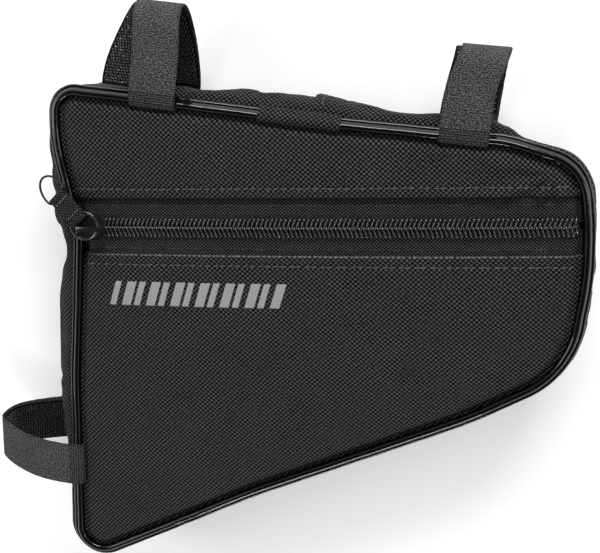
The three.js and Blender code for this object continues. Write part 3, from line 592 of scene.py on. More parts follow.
vinyl = vinyl_material()
loop_tape = loop_tape_material()
nylon = smooth_material("coil_nylon", 0.010, 0.15, level=1.0)
enamel = smooth_material("black_enamel", 0.008, 0.18, 1200.0, wear=0.012, level=0.9)
thread = smooth_material("black_thread", 0.068, 0.5, 2500.0, 0.05)
tape_thread = smooth_material("tape_thread", 0.045, 0.5, 2500.0, 0.05)
pale_thread = smooth_material("pale_thread", 0.24, 0.45, 2500.0, 0.05, wear=-0.12)
cord_skin = smooth_material("cord_skin", 0.003, 0.4, 2500.0, 0.08, level=0.2)
hook_nylon = smooth_material("hook_nylon", 0.08, 0.22, 3000.0, wear=0.05)
worn_hooks = smooth_material("worn_hook_nylon", 0.13, 0.3, 6000.0, wear=0.8)
print_grey = smooth_material("silver_print", 0.27, 0.6, 1800.0, 0.04, level=0.2)

# Camera, lights and floor
CAMERA_LENS = 54.0
CAMERA_PLACE = (66.9, 144.0, 515.4)
CAMERA_RIGHT = (0.9884, -0.0252, -0.1495)
CAMERA_FORWARD = (-0.1513, -0.2301, -0.9613)
# The surrounding light is bright up to one height of the view and has fallen off by the other
HORIZON_LIGHT = 1.15
HORIZON_TOP = 0.25
OVERHEAD_LIGHT = 0.03
OVERHEAD_FOOT = 0.80
FLOOR_REACH = 3.0
FLOOR_GLOW = 0.20
WHITE = (1, 1, 1, 1)
# Columns: name, place, width and height in metres, power in watts
SOFTBOXES = [
    ("key_top", (0.25, 1.35, 0.75), (1.0, 0.4), 23),
    ("left_box", (-1.35, 0.25, 0.95), (0.6, 1.3), 9),
    ("right_box", (1.4, 0.1, 0.9), (0.3, 1.1), 3),
    ("low_box", (0.25, -1.45, 0.6), (0.7, 0.2), 11),
]


def add_camera():
    """Camera at the photograph's angle."""
    data = bpy.data.cameras.new("camera")
    data.sensor_fit = "HORIZONTAL"
    data.sensor_width = 36.0
    data.lens = CAMERA_LENS
    data.clip_start = 0.01
    data.clip_end = 20.0
    camera = linked("camera", data)
    right = Vector(CAMERA_RIGHT).normalized()
    forward = Vector(CAMERA_FORWARD).normalized()
    up = right.cross(forward).normalized()
    turned = Matrix((right, up, -forward)).transposed().to_4x4()
    place = (np.array(CAMERA_PLACE) + SHIFT) * MM
    camera.matrix_world = Matrix.Translation(Vector(place.tolist())) @ turned
    bpy.context.scene.camera = camera


def add_world():
    """Even light that is bright low down and dark overhead."""
    world = bpy.data.worlds.new("studio")
    bpy.context.scene.world = world
    world.use_nodes = True
    nodes, links = world.node_tree.nodes, world.node_tree.links
    background = nodes["Background"]
    background.inputs["Color"].default_value = WHITE
    sky = nodes.new("ShaderNodeTexCoord")
    split = nodes.new("ShaderNodeSeparateXYZ")
    links.new(sky.outputs["Generated"], split.inputs[0])
    fall = nodes.new("ShaderNodeMapRange")
    limits = {"From Min": HORIZON_TOP, "From Max": OVERHEAD_FOOT,
              "To Min": HORIZON_LIGHT, "To Max": OVERHEAD_LIGHT}
    for key, value in limits.items():
        fall.inputs[key].default_value = value
    links.new(split.outputs[2], fall.inputs["Value"])
    links.new(fall.outputs[0], background.inputs["Strength"])
    bpy.context.scene.view_settings.view_transform = "Standard"


def softbox(name, place, size, power):
    """Square lamp that faces the bag."""
    data = bpy.data.lights.new(name, "AREA")
    data.shape = "RECTANGLE"
    data.size, data.size_y = size
    data.energy = power
    lamp = linked(name, data)
    lamp.location = place
    lamp.rotation_euler = (-Vector(place)).to_track_quat("-Z", "Y").to_euler()


def add_floor():
    """Pale floor that glows a little, so that it stays white round the bag."""
    mesh = bpy.data.meshes.new("floor")
    r = FLOOR_REACH
    mesh.from_pydata([(-r, -r, 0), (r, -r, 0), (r, r, 0), (-r, r, 0)], [], [(0, 1, 2, 3)])
    paint = smooth_material("floor_paint", 0.93, 0.9, 400.0, 0.01, vary=0.03, level=0.1)
    glow = paint.node_tree.nodes["Principled BSDF"].inputs
    glow["Emission Color"].default_value = WHITE
    glow["Emission Strength"].default_value = FLOOR_GLOW
    mesh.materials.append(paint)
    floor = linked("floor", mesh)


add_camera()
add_world()
for box in SOFTBOXES:
    softbox(*box)
add_floor()


# Cloth simulation of thin sheets held at their edges
CLOTH_SETTINGS = {
    "quality": 6, "mass": 0.3, "tension_stiffness": 30, "compression_stiffness": 30,
    "shear_stiffness": 12, "bending_stiffness": 1.2, "tension_damping": 12,
    "compression_damping": 12, "shear_damping": 12, "air_damping": 2,
    "vertex_group_mass": "held", "use_pressure": True,
}
SHEET_SCALE = 0.01


def settle(points, held, quads, grow, push, frames, cap):
    """How far a sheet moves when it is a little too large for its frame, in millimetres."""
    mesh = bpy.data.meshes.new("settling")
    mesh.from_pydata((points * SHEET_SCALE).tolist(), [], quads)
    sheet = linked("settling", mesh)
    group = sheet.vertex_groups.new(name="held")
    group.add([int(i) for i in np.flatnonzero(held)], 1.0, "REPLACE")
    modifier = sheet.modifiers.new("cloth", "CLOTH")
    for key, value in CLOTH_SETTINGS.items():
        setattr(modifier.settings, key, value)
    modifier.settings.shrink_min = -grow
    modifier.settings.uniform_pressure_force = push
    modifier.settings.effector_weights.gravity = 0
    modifier.collision_settings.use_collision = False
    modifier.point_cache.frame_start = 1
    modifier.point_cache.frame_end = frames
    scene = bpy.context.scene
    for number in range(1, frames + 1):
        scene.frame_set(number)
    graph = bpy.context.evaluated_depsgraph_get()
    moved = np.zeros(len(points) * 3)
    sheet.evaluated_get(graph).data.vertices.foreach_get("co", moved)
    bpy.data.objects.remove(sheet)
    scene.frame_set(1)
    move = moved.reshape(-1, 3) / SHEET_SCALE - points
    size = np.linalg.norm(move, axis=1, keepdims=True)
    return move * cap * np.tanh(size / cap) / np.maximum(size, 1e-9)


def sampled(field, row, column):
    """Values of a grid read between its points."""
    rows, columns = field.shape[:2]
    row = np.clip(row, 0, rows - 1.001)
    column = np.clip(column, 0, columns - 1.001)
    i, k = row.astype(int), column.astype(int)
    a, b = (row - i)[..., None], (column - k)[..., None]
    a, b = a * a * (3 - 2 * a), b * b * (3 - 2 * b)
    return mix(mix(field[i, k], field[i, k + 1], b), mix(field[i + 1, k], field[i + 1, k + 1], b), a)


# Front panels
def panel_drift(low_y, high_y):
    """Movement of the front cloth on a grid over the bag, from a sheet held at the seam."""
    pitch, held_width = 5.0, 5.5
    xs = np.arange(-SEAM_LENGTH / 2 - pitch, SEAM_LENGTH / 2 + pitch * 1.5, pitch)
    ys = np.arange(low_y - pitch, high_y + pitch * 1.5, pitch)
    x, y = np.meshgrid(xs, ys, indexing="ij")
    inset = seam_distance(x, y) * np.where(inside_seam(x, y), 1, -1) - RIM_INSET
    use = (inset > 0) & (y > low_y - 0.1) & (y < high_y + 0.1)
    held = use & ((inset < held_width) | (y > high_y - pitch) | (y < low_y + pitch))
    number = -np.ones(x.shape, int)
    number[use] = np.arange(use.sum())
    corners = [number[:-1, :-1], number[1:, :-1], number[1:, 1:], number[:-1, 1:]]
    square = np.stack(corners, -1).reshape(-1, 4)
    quads = square[(square >= 0).all(1)]
    points = np.stack([x[use], y[use], front_height(x[use], y[use])], 1)
    field = np.zeros(x.shape + (3,))
    field[use] = settle(points, held[use], quads.tolist(),
                        grow=0.006, push=0.25, frames=20, cap=2.2)
    return xs[0], ys[0], pitch, field


PANEL_INSETS = np.array([0, 0.5, 1.0, 1.45, 1.8, 2.1, 2.4, 2.8, 3.3, 3.9, 4.7, 5.6, 6.8, 8.2])
HEM_ROOM = 2.2
ROW_CROWDING = 1.45
FOLD_WIDTH, FOLD_DROP = 0.9, 0.8
THREAD_WIDTH, THREAD_DROP = 0.8, 0.30
PULL_PLACE = (124.0, 88.0)
PULL_REACH, PULL_WIDTH = 26, 20
PULL_FOLDS, PULL_DEPTH = 9, 1.8


def panel_layout(hem, rows):
    """Places of a panel's points: rings along the seam, then rows that run to the hem."""
    keep = SEAM[:, 1] > hem + HEM_ROOM if hem > ZIP_MIDDLE else SEAM[:, 1] < hem - HEM_ROOM
    first = [i for i in range(len(SEAM)) if keep[i] and not keep[i - 1]][0]
    kept = np.roll(SEAM, -first, 0)[:int(keep.sum())]
    rim = kept[:, None, :2] - kept[:, None, 2:] * (RIM_INSET + PANEL_INSETS)[None, :, None]
    side = math.copysign(1, kept[0, 0])
    ends = [np.array([(row_end(hem, RIM_INSET + d, s), hem) for d in PANEL_INSETS]) for s in (side, -side)]
    rim = np.concatenate([ends[0][None], rim, ends[1][None]])
    foot = rim[:, -1]
    run = run_along(rim[:, 0])
    hem_x = mix(foot[0, 0], foot[-1, 0], run / run[-1])
    t = 1 - (1 - np.arange(1, rows + 1) / rows) ** ROW_CROWDING
    goal = np.stack([hem_x, np.full_like(hem_x, hem)], 1)
    inner = mix(foot[:, None, :], goal[:, None, :], t[None, :, None])
    return np.concatenate([rim, inner], 1)


def panel_relief(x, y, inset, far, calm):
    """Height that folds, sewing and slack add to a panel."""
    # Fold along the hem, its sewn line and the puckers that the thread draws
    z = -FOLD_DROP * rolled(limited(far / FOLD_WIDTH)) - THREAD_DROP * bell(far, HEM_SEWN, THREAD_WIDTH)
    z = z + 0.22 * bell(far, 0, 7.5) * wave(x / 9, y / 30, 0 * x, 1) + 0.30 * bell(far, 3.0, 1.9)
    # Soft puckers where the seam gathers the cloth, and low waves across it
    gather = np.exp(-np.clip(inset - 3, 0, 99) / 7) * limited((inset - 1.8) / 2.5)
    z = z + 0.42 * gather * wave(x / 7, y / 7, 0 * x, 2)
    z = z + calm * (0.9 * wave(x / 60, y / 42, 0 * x, 3) + 0.35 * wave(x / 24, y / 17, 0 * x, 4))
    # Pulls from the upper right corner, where the cloth is drawn round the bend
    away = np.hypot(x - PULL_PLACE[0], y - PULL_PLACE[1])
    heading = np.arctan2(y - PULL_PLACE[1], x - PULL_PLACE[0])
    pull = bell(away, PULL_REACH, PULL_WIDTH) * calm * (0.5 + 0.5 * np.cos(heading + 2.4)) ** 2
    return z + PULL_DEPTH * pull * np.sin(heading * PULL_FOLDS + 1.0)


def front_panel(name, hem, rows, drift):
    """Panel cloth on one side of a hem, rolled down along the seam and folded under along the hem."""
    flat = panel_layout(hem, rows)
    x, y = flat[..., 0], flat[..., 1]
    inset = seam_distance(x, y) - RIM_INSET
    inset[:, 0] = 0
    far = np.abs(y - hem)
    calm = limited((inset - 2) / 9)
    x0, y0, pitch, field = drift
    moved = sampled(field, (x - x0) / pitch, (y - y0) / pitch) * calm[..., None]
    moved *= limited(far / 8)[..., None]
    z = front_height(x, y, inset) + panel_relief(x, y, inset, far, calm)
    top = np.stack([x, y, z], -1) + moved
    bottom = top - np.array([0, 0, PANEL_THICKNESS])
    points, faces = shell(top, bottom)
    uv = cloth_uv(top[..., 0] + 0.06 * top[..., 1], top[..., 1])
    return piece(name.replace("panel", "cloth"), points, faces, cloth, [name],
                 uv=np.concatenate([uv, uv]), sharp=50, merge=True)


lower_drift = panel_drift(-SEAM_HEIGHT / 2 - 10, HEM_LOW)
upper_drift = panel_drift(HEM_HIGH, SEAM_HEIGHT / 2 + 5)
lower_panel = front_panel("front_panel_lower", HEM_LOW, 76, lower_drift)
upper_panel = front_panel("front_panel_upper", HEM_HIGH, 40, upper_drift)


def surface_height(panel):
    """Reader of a panel's top height at points given in millimetres about the seam."""
    tree = BVHTree.FromObject(panel, bpy.context.evaluated_depsgraph_get())
    above = 90.0

    def height(x, y):
        start = (Vector((x, y, above)) + Vector(SHIFT.tolist())) * MM
        hit = tree.ray_cast(start, Vector((0, 0, -1)))[0]
        return None if hit is None else hit[2] / MM
    return height


lower_top = surface_height(lower_panel)
upper_top = surface_height(upper_panel)


# Side band
COARSE_STEPS, COARSE_ROWS = 240, 15
BAND_STEPS, BAND_ROWS = 620, 34
HELD_STEPS = 5
LAP_EDGE, LAP_ROUNDING = 0.8, 0.7


def band_bulge(share):
    """Share of the bulge at shares of the way round, the lap under the start of the band too."""
    return table_value(BULGE_TABLE, np.where(share < 0, share + 1, share))


def band_section(share, u):
    """Outer face of the band at shares round the bag and from the front seam to the back."""
    x, y, nx, ny = seam_at(share)
    ramp = LAP_RAMP / SEAM_TOTAL
    climbed = limited((share - (1 - LAP_WIDTH / SEAM_TOTAL - ramp)) / ramp)
    fullness = GUSSET_BULGE * band_bulge(share)
    out = (RIDGE_REACH + (GUSSET_THICKNESS + CLEARANCE) * climbed
           + fullness * np.sin(math.pi * u ** BULGE_SKEW))
    return x, y, nx, ny, out - tuck_at(np.where(share < 0, share + 1, share)) * u


def side_band():
    """Soft band round the bag, with a lap at the middle of the top."""
    offset = RIDGE_DROP + RIDGE_RADIUS + CLEARANCE
    front, back = FRONT_BEAD_Z - offset, BACK_BEAD_Z + offset
    lap = LAP_WIDTH / SEAM_TOTAL

    # Coarse sheet that settles between the two seams
    share, u = np.meshgrid(np.linspace(-lap, 1, COARSE_STEPS), np.linspace(0, 1, COARSE_ROWS), indexing="ij")
    x, y, nx, ny, out = band_section(share, u)
    start = np.stack([x + nx * out, y + ny * out, mix(front, back, u)], -1)
    field = np.zeros_like(start)
    held = (u < 0.01) | (u > 0.99)
    held[:HELD_STEPS] = True
    held[-HELD_STEPS:] = True
    moved = settle(start.reshape(-1, 3), held.ravel(), grid_faces(*u.shape),
                   grow=0.02, push=0.3, frames=24, cap=1.1)
    field = moved.reshape(start.shape)

    # Fine band, with its slack, its puckers along the seams and the coarse sheet's movement
    u_rows = 0.5 - 0.5 * np.cos(np.linspace(0, math.pi, BAND_ROWS))
    share, u = np.meshgrid(np.linspace(-lap, 1, BAND_STEPS), u_rows, indexing="ij")
    x, y, nx, ny, out = band_section(share, u)
    run = share * SEAM_TOTAL
    edge = np.minimum(u, 1 - u)
    calm = limited(edge / 0.16)
    seamed = limited((share + lap) * 40) * limited((1 - share) * 40)
    loose = limited(band_bulge(share) + 0.25)
    out = out + seamed * calm * loose * (0.6 * wave(run / 34, u * 1.2, 0 * u, 11)
                                         + 0.4 * wave(run / 13, u * 2.2, 0 * u, 12))
    gather = np.exp(-edge / 0.10) * limited(edge / 0.02)
    out = out + 0.5 * gather * wave(run / 6.5, u * 2, 0 * u, 13)
    outer = np.stack([x + nx * out, y + ny * out, mix(front, back, u)], -1)
    outer += sampled(field, (share + lap) / (1 + lap) * (COARSE_STEPS - 1), u * (COARSE_ROWS - 1))
    # Turned end of the lap
    sink = (LAP_ROUNDING * rolled(limited((1 - share) * SEAM_TOTAL / LAP_EDGE)))[..., None]
    normal = np.stack([nx, ny, 0 * nx], -1)
    outer -= normal * sink
    inner = outer - normal * (GUSSET_THICKNESS - sink)
    slope = np.hypot(np.gradient(out, axis=1), np.gradient(mix(front, back, u), axis=1))
    uv = cloth_uv(run, np.cumsum(slope, axis=1))
    points, faces = shell(outer, inner)
    made = piece("side_band", points, faces, side_cloth, ["gusset"],
                 uv=np.concatenate([uv, uv]), sharp=55)
    return made, outer, share


gusset_piece, gusset_face, gusset_share = side_band()


# Piping
def arc(cx, cy, radius, start, end, steps):
    angle = np.radians(np.linspace(start, end, steps + 1))
    return np.stack([cx + radius * np.cos(angle), cy + radius * np.sin(angle)], 1)


RIDGE_ANGLE = math.degrees(math.atan2(-RIDGE_DROP, RIDGE_REACH))
TOUCH_ANGLE = RIDGE_ANGLE + math.degrees(math.acos((BEAD_RADIUS - RIDGE_RADIUS)
                                                   / math.hypot(RIDGE_REACH, RIDGE_DROP)))


PIPING_STEPS = 640


def piping(name, base, flip, seed):
    """Double ridge of piping round the whole seam, a little uneven as sewn cord is."""
    profile = np.concatenate([
        arc(0, 0, BEAD_RADIUS, TOUCH_ANGLE - 25, 250, 16),
        arc(RIDGE_REACH, -RIDGE_DROP, RIDGE_RADIUS, 250, 360 + TOUCH_ANGLE + 55, 12),
    ])
    share = np.arange(PIPING_STEPS) / PIPING_STEPS
    x, y, nx, ny = seam_at(share)

    def uneven(often, number):
        """Noise that meets itself after one way round."""
        return wave(np.cos(share * ROUND) * often, np.sin(share * ROUND) * often, 0 * x, number)
    sway = 0.16 * uneven(9, seed) + 0.07 * uneven(30, seed)
    lift = 0.12 * uneven(11, seed + 1)
    swell = 1 + 0.03 * uneven(40, seed + 2)
    if flip < 0:
        sway = sway - tuck_at(share)
    n = profile[None, :, 0] * swell[:, None] + sway[:, None]
    z = profile[None, :, 1] * swell[:, None] + np.clip(lift, -0.1, 1)[:, None]
    sections = np.stack([x[:, None] + nx[:, None] * n, y[:, None] + ny[:, None] * n, base + flip * z], -1)
    points, faces = swept(sections, True)
    return piece(name + "_vinyl", points, faces, vinyl, [name], sharp=60)


piping("front_piping", FRONT_BEAD_Z, 1, 21)
piping("back_piping", BACK_BEAD_Z, -1, 31)


def wrap_sleeve():
    """Cloth sleeve over the joint of the piping."""
    bead = BEAD_RADIUS + CLEARANCE
    ridge = RIDGE_RADIUS + CLEARANCE
    steps = 58
    share = np.linspace(-WRAP_START, WRAP_LENGTH - WRAP_START, steps) / SEAM_TOTAL
    x, y, nx, ny = seam_at(share)

    def path(extra):
        return np.concatenate([arc(0, 0, bead + extra, STRAP_ROOT_ANGLE, TOUCH_ANGLE, 14),
                               arc(RIDGE_REACH, -RIDGE_DROP, ridge + extra, TOUCH_ANGLE, WRAP_END_ANGLE, 10)])

    outer, inner = path(WRAP_THICKNESS), path(0)
    ripple = 0.14 * wave(share[:, None] * SEAM_TOTAL / 5, np.arange(len(outer))[None, :] / 7, 0, 41)
    end = np.minimum(np.arange(steps), np.arange(steps)[::-1])[:, None]
    ripple = ripple - 0.25 * (end == 0)
    grow = outer - inner

    def place(profile, more):
        more = np.broadcast_to(more, (steps, len(outer)))
        n = profile[None, :, 0] + grow[None, :, 0] * more
        z = profile[None, :, 1] + grow[None, :, 1] * more
        return np.stack([x[:, None] + nx[:, None] * n, y[:, None] + ny[:, None] * n, FRONT_BEAD_Z + z], -1)
    points, faces = shell(place(outer, ripple), place(inner, 0))
    uv = cloth_uv(share[:, None] * SEAM_TOTAL, run_along(outer)[None, :])
    return piece("piping_sleeve", points, faces, side_cloth, ["piping_wrap"],
                 uv=np.concatenate([uv, uv]), sharp=50)


wrap_sleeve()


# Back panel
def back_panel():
    """Flat back with a rounded rim, lying on the floor."""
    insets = np.array([0, 0.3, 0.8, 1.6, 3, 6, 12])
    line = SEAM[::2]
    inset = RIM_INSET + insets[:, None] + tuck_at(SEAM_SHARE[::2])[None, :]
    rings = line[None, :, :2] - line[None, :, 2:] * inset[..., None]
    centre = rings[-1].mean(0)
    shares = np.linspace(1, 0.02, 22)[1:]
    inner = centre + (rings[-1] - centre)[None] * shares[:, None, None]
    flat = np.concatenate([rings, inner])
    x, y = flat[..., 0], flat[..., 1]
    depth = np.zeros(len(flat))
    depth[:3] = [0.55, 0.25, 0.08]
    low = np.stack([x, y, np.broadcast_to(depth[:, None], x.shape)], -1)
    high = np.stack([x, y, np.full(x.shape, PANEL_THICKNESS) - depth[:, None]], -1)
    rows, columns = x.shape
    count = rows * columns
    faces = grid_faces(rows, columns, wrap_columns=True)
    faces += [f[::-1] for f in grid_faces(rows, columns, wrap_columns=True, first=count)]
    for k in range(columns):
        k2 = (k + 1) % columns
        faces.append([k2, k, k + count, k2 + count])
    last = (rows - 1) * columns
    faces.append([last + k for k in range(columns)][::-1])
    faces.append([count + last + k for k in range(columns)])
    points = np.concatenate([low.reshape(-1, 3), high.reshape(-1, 3)])
    return piece("back_cloth", points, [f[::-1] for f in faces], side_cloth, ["back_panel"],
                 uv=points[:, :2], sharp=50)


back_cloth = back_panel()


# Zip
def tape_height(x, y):
    return front_height(x, y) - TAPE_DROP


def zip_tape(name, side):
    """Woven tape beside the coil, with the raised cord line along it."""
    across = np.array([TAPE_SPLIT / 2, 2.0, 2.6, 3.4, 4.4, 5.2, 5.8, 6.3, 6.8, 7.3, 7.8, 8.4, 9.2, 10.2, 11.2,
                       12.2, 13.2, 14.2, 15.4, 17.0, 18.6, HEM_SPACING / 2 + HEM_COVER])
    rows = []
    for distance in across:
        y = ZIP_MIDDLE + side * distance
        ends = [row_end(y, RIM_INSET, -1), row_end(y, RIM_INSET, 1)]
        rims = [row_end(y, RIM_INSET + 9, -1), row_end(y, RIM_INSET + 9, 1)]
        x = np.concatenate([np.linspace(ends[0], rims[0], 12)[:-1], np.linspace(rims[0], rims[1], 190),
                            np.linspace(rims[1], ends[1], 12)[1:]])
        rows.append(np.stack([x, np.full_like(x, y)], 1))
    flat = np.array(rows).transpose(1, 0, 2)
    x, y = flat[..., 0], flat[..., 1]
    z = tape_height(x, y)
    far = np.abs(y - ZIP_MIDDLE)
    under = limited((far - 12.6) / 2.0)
    relief = 0.22 * bell(far, 7.0, 0.7) + 0.20 * wave(x / 11, y / 6, 0 * x, 51) * (far > 5.3)
    z = z + np.clip(relief, -0.3, 0.24) * (1 - under)
    top = np.stack([x, y, z], -1)
    bottom = top - np.array([0, 0, TAPE_THICKNESS])
    points, faces = shell(top, bottom)
    uv = flat.reshape(-1, 2)
    return piece(name + "_weave", points, faces, tape_cloth, [name],
                 uv=np.concatenate([uv, uv]), sharp=50)


zip_tape("zip_tape_upper", 1)
zip_tape("zip_tape_lower", -1)

slider_x = row_end(ZIP_MIDDLE, SLIDER_PLACE, -1) - SLIDER_LENGTH


def wire(path, radius, sides, closed):
    """Round wire along a path of points."""
    path = np.asarray(path, float)
    if closed:
        tangent = np.roll(path, -1, 0) - np.roll(path, 1, 0)
    else:
        tangent = np.gradient(path, axis=0)
    tangent /= np.linalg.norm(tangent, axis=1)[:, None]
    normal = np.cross(tangent[0], [0.3, 0.2, 1.0])
    normals = []
    for t in tangent:
        normal = normal - t * (normal @ t)
        normal = normal / np.linalg.norm(normal)
        normals.append(normal)
    normals = np.array(normals)
    if closed:
        last = normals[-1] - tangent[0] * (normals[-1] @ tangent[0])
        twist = math.atan2(np.cross(last, normals[0]) @ tangent[0], last @ normals[0])
    else:
        twist = 0.0
    binormal = np.cross(tangent, normals)
    turn = (np.arange(len(path)) / len(path) * twist)[:, None] + np.arange(sides)[None, :] * ROUND / sides
    ring = np.cos(turn)[..., None] * normals[:, None] + np.sin(turn)[..., None] * binormal[:, None]
    return swept(path[:, None] + ring * radius, closed)


COIL_PITCH = 2.41
COIL_WIRE = 0.52
COIL_LEAN = 0.75
HEAD_PAST = 0.35
TURN_STEPS = 22


def zip_coil(name, side):
    """Coiled teeth: flattened turns of nylon wire that lean to the right, heads meshed in the middle."""
    start = slider_x + NECK_START + NECK_LENGTH + CLEARANCE + COIL_END_ROOM
    end = row_end(ZIP_MIDDLE, RIM_INSET + COIL_END_ROOM, 1) - 0.6
    turns = int((end - start) / COIL_PITCH)
    t = np.arange(turns * TURN_STEPS + 1) / TURN_STEPS
    angle = t * ROUND
    # Across from the head near the middle out to the tape: a flattened turn with a blunt head
    reach = 0.5 - 0.5 * np.cos(angle)
    reach = np.where(reach < 0.5, 0.5 * (2 * reach) ** 0.8, 1 - 0.5 * (2 - 2 * reach) ** 0.8)
    inner, outer = -HEAD_PAST, COIL_WIDTH / 2 - 0.55
    y = mix(inner, outer, reach)
    rise = np.sin(angle)
    high = np.sign(rise) * np.abs(rise) ** 0.65
    offset = 0.0 if side > 0 else COIL_PITCH / 2
    x = start + offset + t * COIL_PITCH + COIL_LEAN * reach - HEAD_PAST
    keep = x < end + COIL_END_ROOM
    x, y, high = x[keep], y[keep], high[keep]
    base = np.maximum(tape_height(x, np.full_like(x, ZIP_MIDDLE)),
                      tape_height(x, np.full_like(x, ZIP_MIDDLE + side * COIL_WIDTH / 2))) + CLEARANCE
    z = base + COIL_HEIGHT / 2 + high * (COIL_HEIGHT / 2 - COIL_WIRE)
    path = np.stack([x, ZIP_MIDDLE + side * y, z], 1)
    points, faces = wire(path, COIL_WIRE, 8, False)
    return piece(name + "_teeth", points, faces, nylon, [name], sharp=70)


zip_coil("zip_coil_upper", 1)
zip_coil("zip_coil_lower", -1)


SLIDER_ROUNDING = 0.28


def slider():
    """Enamelled slider: the solid's own form with its edges rolled."""
    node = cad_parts["zip_slider"]
    mesh = node.data.copy()
    work = bmesh.new()
    work.from_mesh(mesh)
    bmesh.ops.remove_doubles(work, verts=work.verts, dist=MERGE_DISTANCE)
    bmesh.ops.dissolve_limit(work, angle_limit=math.radians(2), verts=work.verts, edges=work.edges)
    work.to_mesh(mesh)
    work.free()
    made = linked("slider_body", mesh)
    bevel = made.modifiers.new("bevel", "BEVEL")
    bevel.width = SLIDER_ROUNDING * MM
    bevel.segments = 3
    bevel.limit_method = "ANGLE"
    bevel.angle_limit = math.radians(35)
    graph = bpy.context.evaluated_depsgraph_get()
    rolled = bpy.data.meshes.new_from_object(made.evaluated_get(graph))
    made.modifiers.clear()
    made.data = rolled
    rolled.materials.clear()
    rolled.materials.append(enamel)
    rolled.shade_smooth()
    rolled.set_sharp_from_angle(angle=math.radians(40))
    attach(made, "root")
    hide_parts("zip_slider")
    return made


slider()

RING_EYE = WIRE_RADIUS + CLEARANCE
CORD_EYE = CORD_RADIUS + CLEARANCE
RING_X = slider_x + SLIDER_LENGTH - BRIDGE_INSET - BRIDGE_POST - CLEARANCE - WIRE_RADIUS - RING_RADIUS
ring_box = [np.array(v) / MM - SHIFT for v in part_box("zip_pull_ring")]
RING_Z = (ring_box[0][2] + ring_box[1][2]) / 2
TAB_DIRECTION = np.array([math.cos(TAB_ANGLE), math.sin(TAB_ANGLE)])


def flat_ring(radius, flat, angle, stretch, steps):
    half = math.degrees(math.acos(flat / radius))
    points = arc(0, 0, radius, half, 360 - half, steps)
    chord = np.linspace(points[-1], points[0], 9)[1:-1]
    points = np.concatenate([points, chord])
    along = np.where(points[:, 0] < 0, points[:, 0] * stretch, points[:, 0])
    c, s = math.cos(angle), math.sin(angle)
    return np.stack([along * c - points[:, 1] * s, along * s + points[:, 1] * c], 1)


ring = flat_ring(RING_RADIUS, RING_FLAT, TAB_ANGLE, 1, 56)
ring = np.stack([RING_X + ring[:, 0], ZIP_MIDDLE + RING_RISE + ring[:, 1], np.full(len(ring), RING_Z)], 1)
points, faces = wire(ring, WIRE_RADIUS, 12, True)
piece("pull_wire_ring", points, faces, enamel, ["zip_pull_ring"], sharp=70)


def from_tab(along, across, up):
    flat = along * math.cos(TAB_PITCH) + up * math.sin(TAB_PITCH) + RING_FLAT
    z = RING_Z - along * math.sin(TAB_PITCH) + up * math.cos(TAB_PITCH)
    x = RING_X + TAB_DIRECTION[0] * flat - TAB_DIRECTION[1] * across
    y = ZIP_MIDDLE + RING_RISE + TAB_DIRECTION[1] * flat + TAB_DIRECTION[0] * across
    return np.stack(np.broadcast_arrays(x, y, z), -1)


def pull_tab():
    """Webbing folded round the ring and the cord, sewn across at both ends."""
    layer = TAB_LAYER
    low, high = RING_EYE + layer, CORD_EYE + layer
    low_turn = math.degrees(math.asin(TAB_GAP / low))
    high_turn = math.degrees(math.asin(TAB_GAP / high))
    ring_side = arc(0, 0, low, low_turn, 360 - low_turn, 26)
    cord_side = arc(TAB_LENGTH, 0, high, 180 + high_turn, 540 - high_turn, 26)
    lower = np.linspace(ring_side[-1], cord_side[0], 30)[1:-1]
    upper = np.linspace(cord_side[-1], ring_side[0], 30)[1:-1]
    path = np.concatenate([ring_side, lower, cord_side, upper])
    tangent = np.roll(path, -1, 0) - np.roll(path, 1, 0)
    tangent /= np.linalg.norm(tangent, axis=1)[:, None]
    normal = np.stack([tangent[:, 1], -tangent[:, 0]], 1)
    half = TAB_WIDTH / 2
    columns = np.linspace(-half, half, 15)
    section = [(c, -layer) for c in columns] + [(c, layer) for c in columns[::-1]]
    # The two edges are drawn in and half as thick
    section = [(c * 0.985, d * 0.5) if abs(c) == half else (c, d) for c, d in section]
    sections = []
    for (a, b), (na, nb) in zip(path, normal):
        dip = sum(0.12 * bell(a, seam, 0.6) for seam in TAB_SEAMS)
        row = [from_tab(a + na * (d - dip * (d > 0)), c, b + nb * (d - dip * (d > 0))) for c, d in section]
        sections.append(row)
    sections = np.array(sections)
    length = run_along(path)
    uv = cloth_uv(length[:, None], np.array([c for c, _ in section])[None, :])
    points, faces = swept(sections, True)
    return piece("pull_webbing_tab", points, faces, tab_cloth, ["pull_tab"], uv=uv,
                 around=length[-1] + 0.5, sharp=60)


pull_tab()

radius = CORD_LOOP_WIDTH / 2
flat = math.sqrt(radius ** 2 - (TAB_WIDTH / 2 + 2 * CLEARANCE) ** 2)
loop = flat_ring(radius, flat, math.pi, (CORD_LOOP_LENGTH - flat) / radius, 56)
loop = from_tab(TAB_LENGTH + flat + loop[:, 0], loop[:, 1], 0.0)
points, faces = wire(loop, CORD_RADIUS, 10, True)
piece("pull_loop_cord", points, faces, cord_skin, ["pull_cord"], sharp=70)


# Straps
def bezier(p, steps):
    t = np.linspace(0, 1, steps)[:, None]
    p = np.array(p, float)
    return (1 - t) ** 3 * p[0] + 3 * (1 - t) ** 2 * t * p[1] + 3 * (1 - t) * t * t * p[2] + t ** 3 * p[3]


ROOT_RADIUS = BEAD_RADIUS + CLEARANCE + STRAP_THICKNESS / 2
STRAP_END = (RIDGE_REACH + RIDGE_RADIUS + 1.5 * CLEARANCE, BACK_BEAD_Z + CLEARANCE + STRAP_THICKNESS)


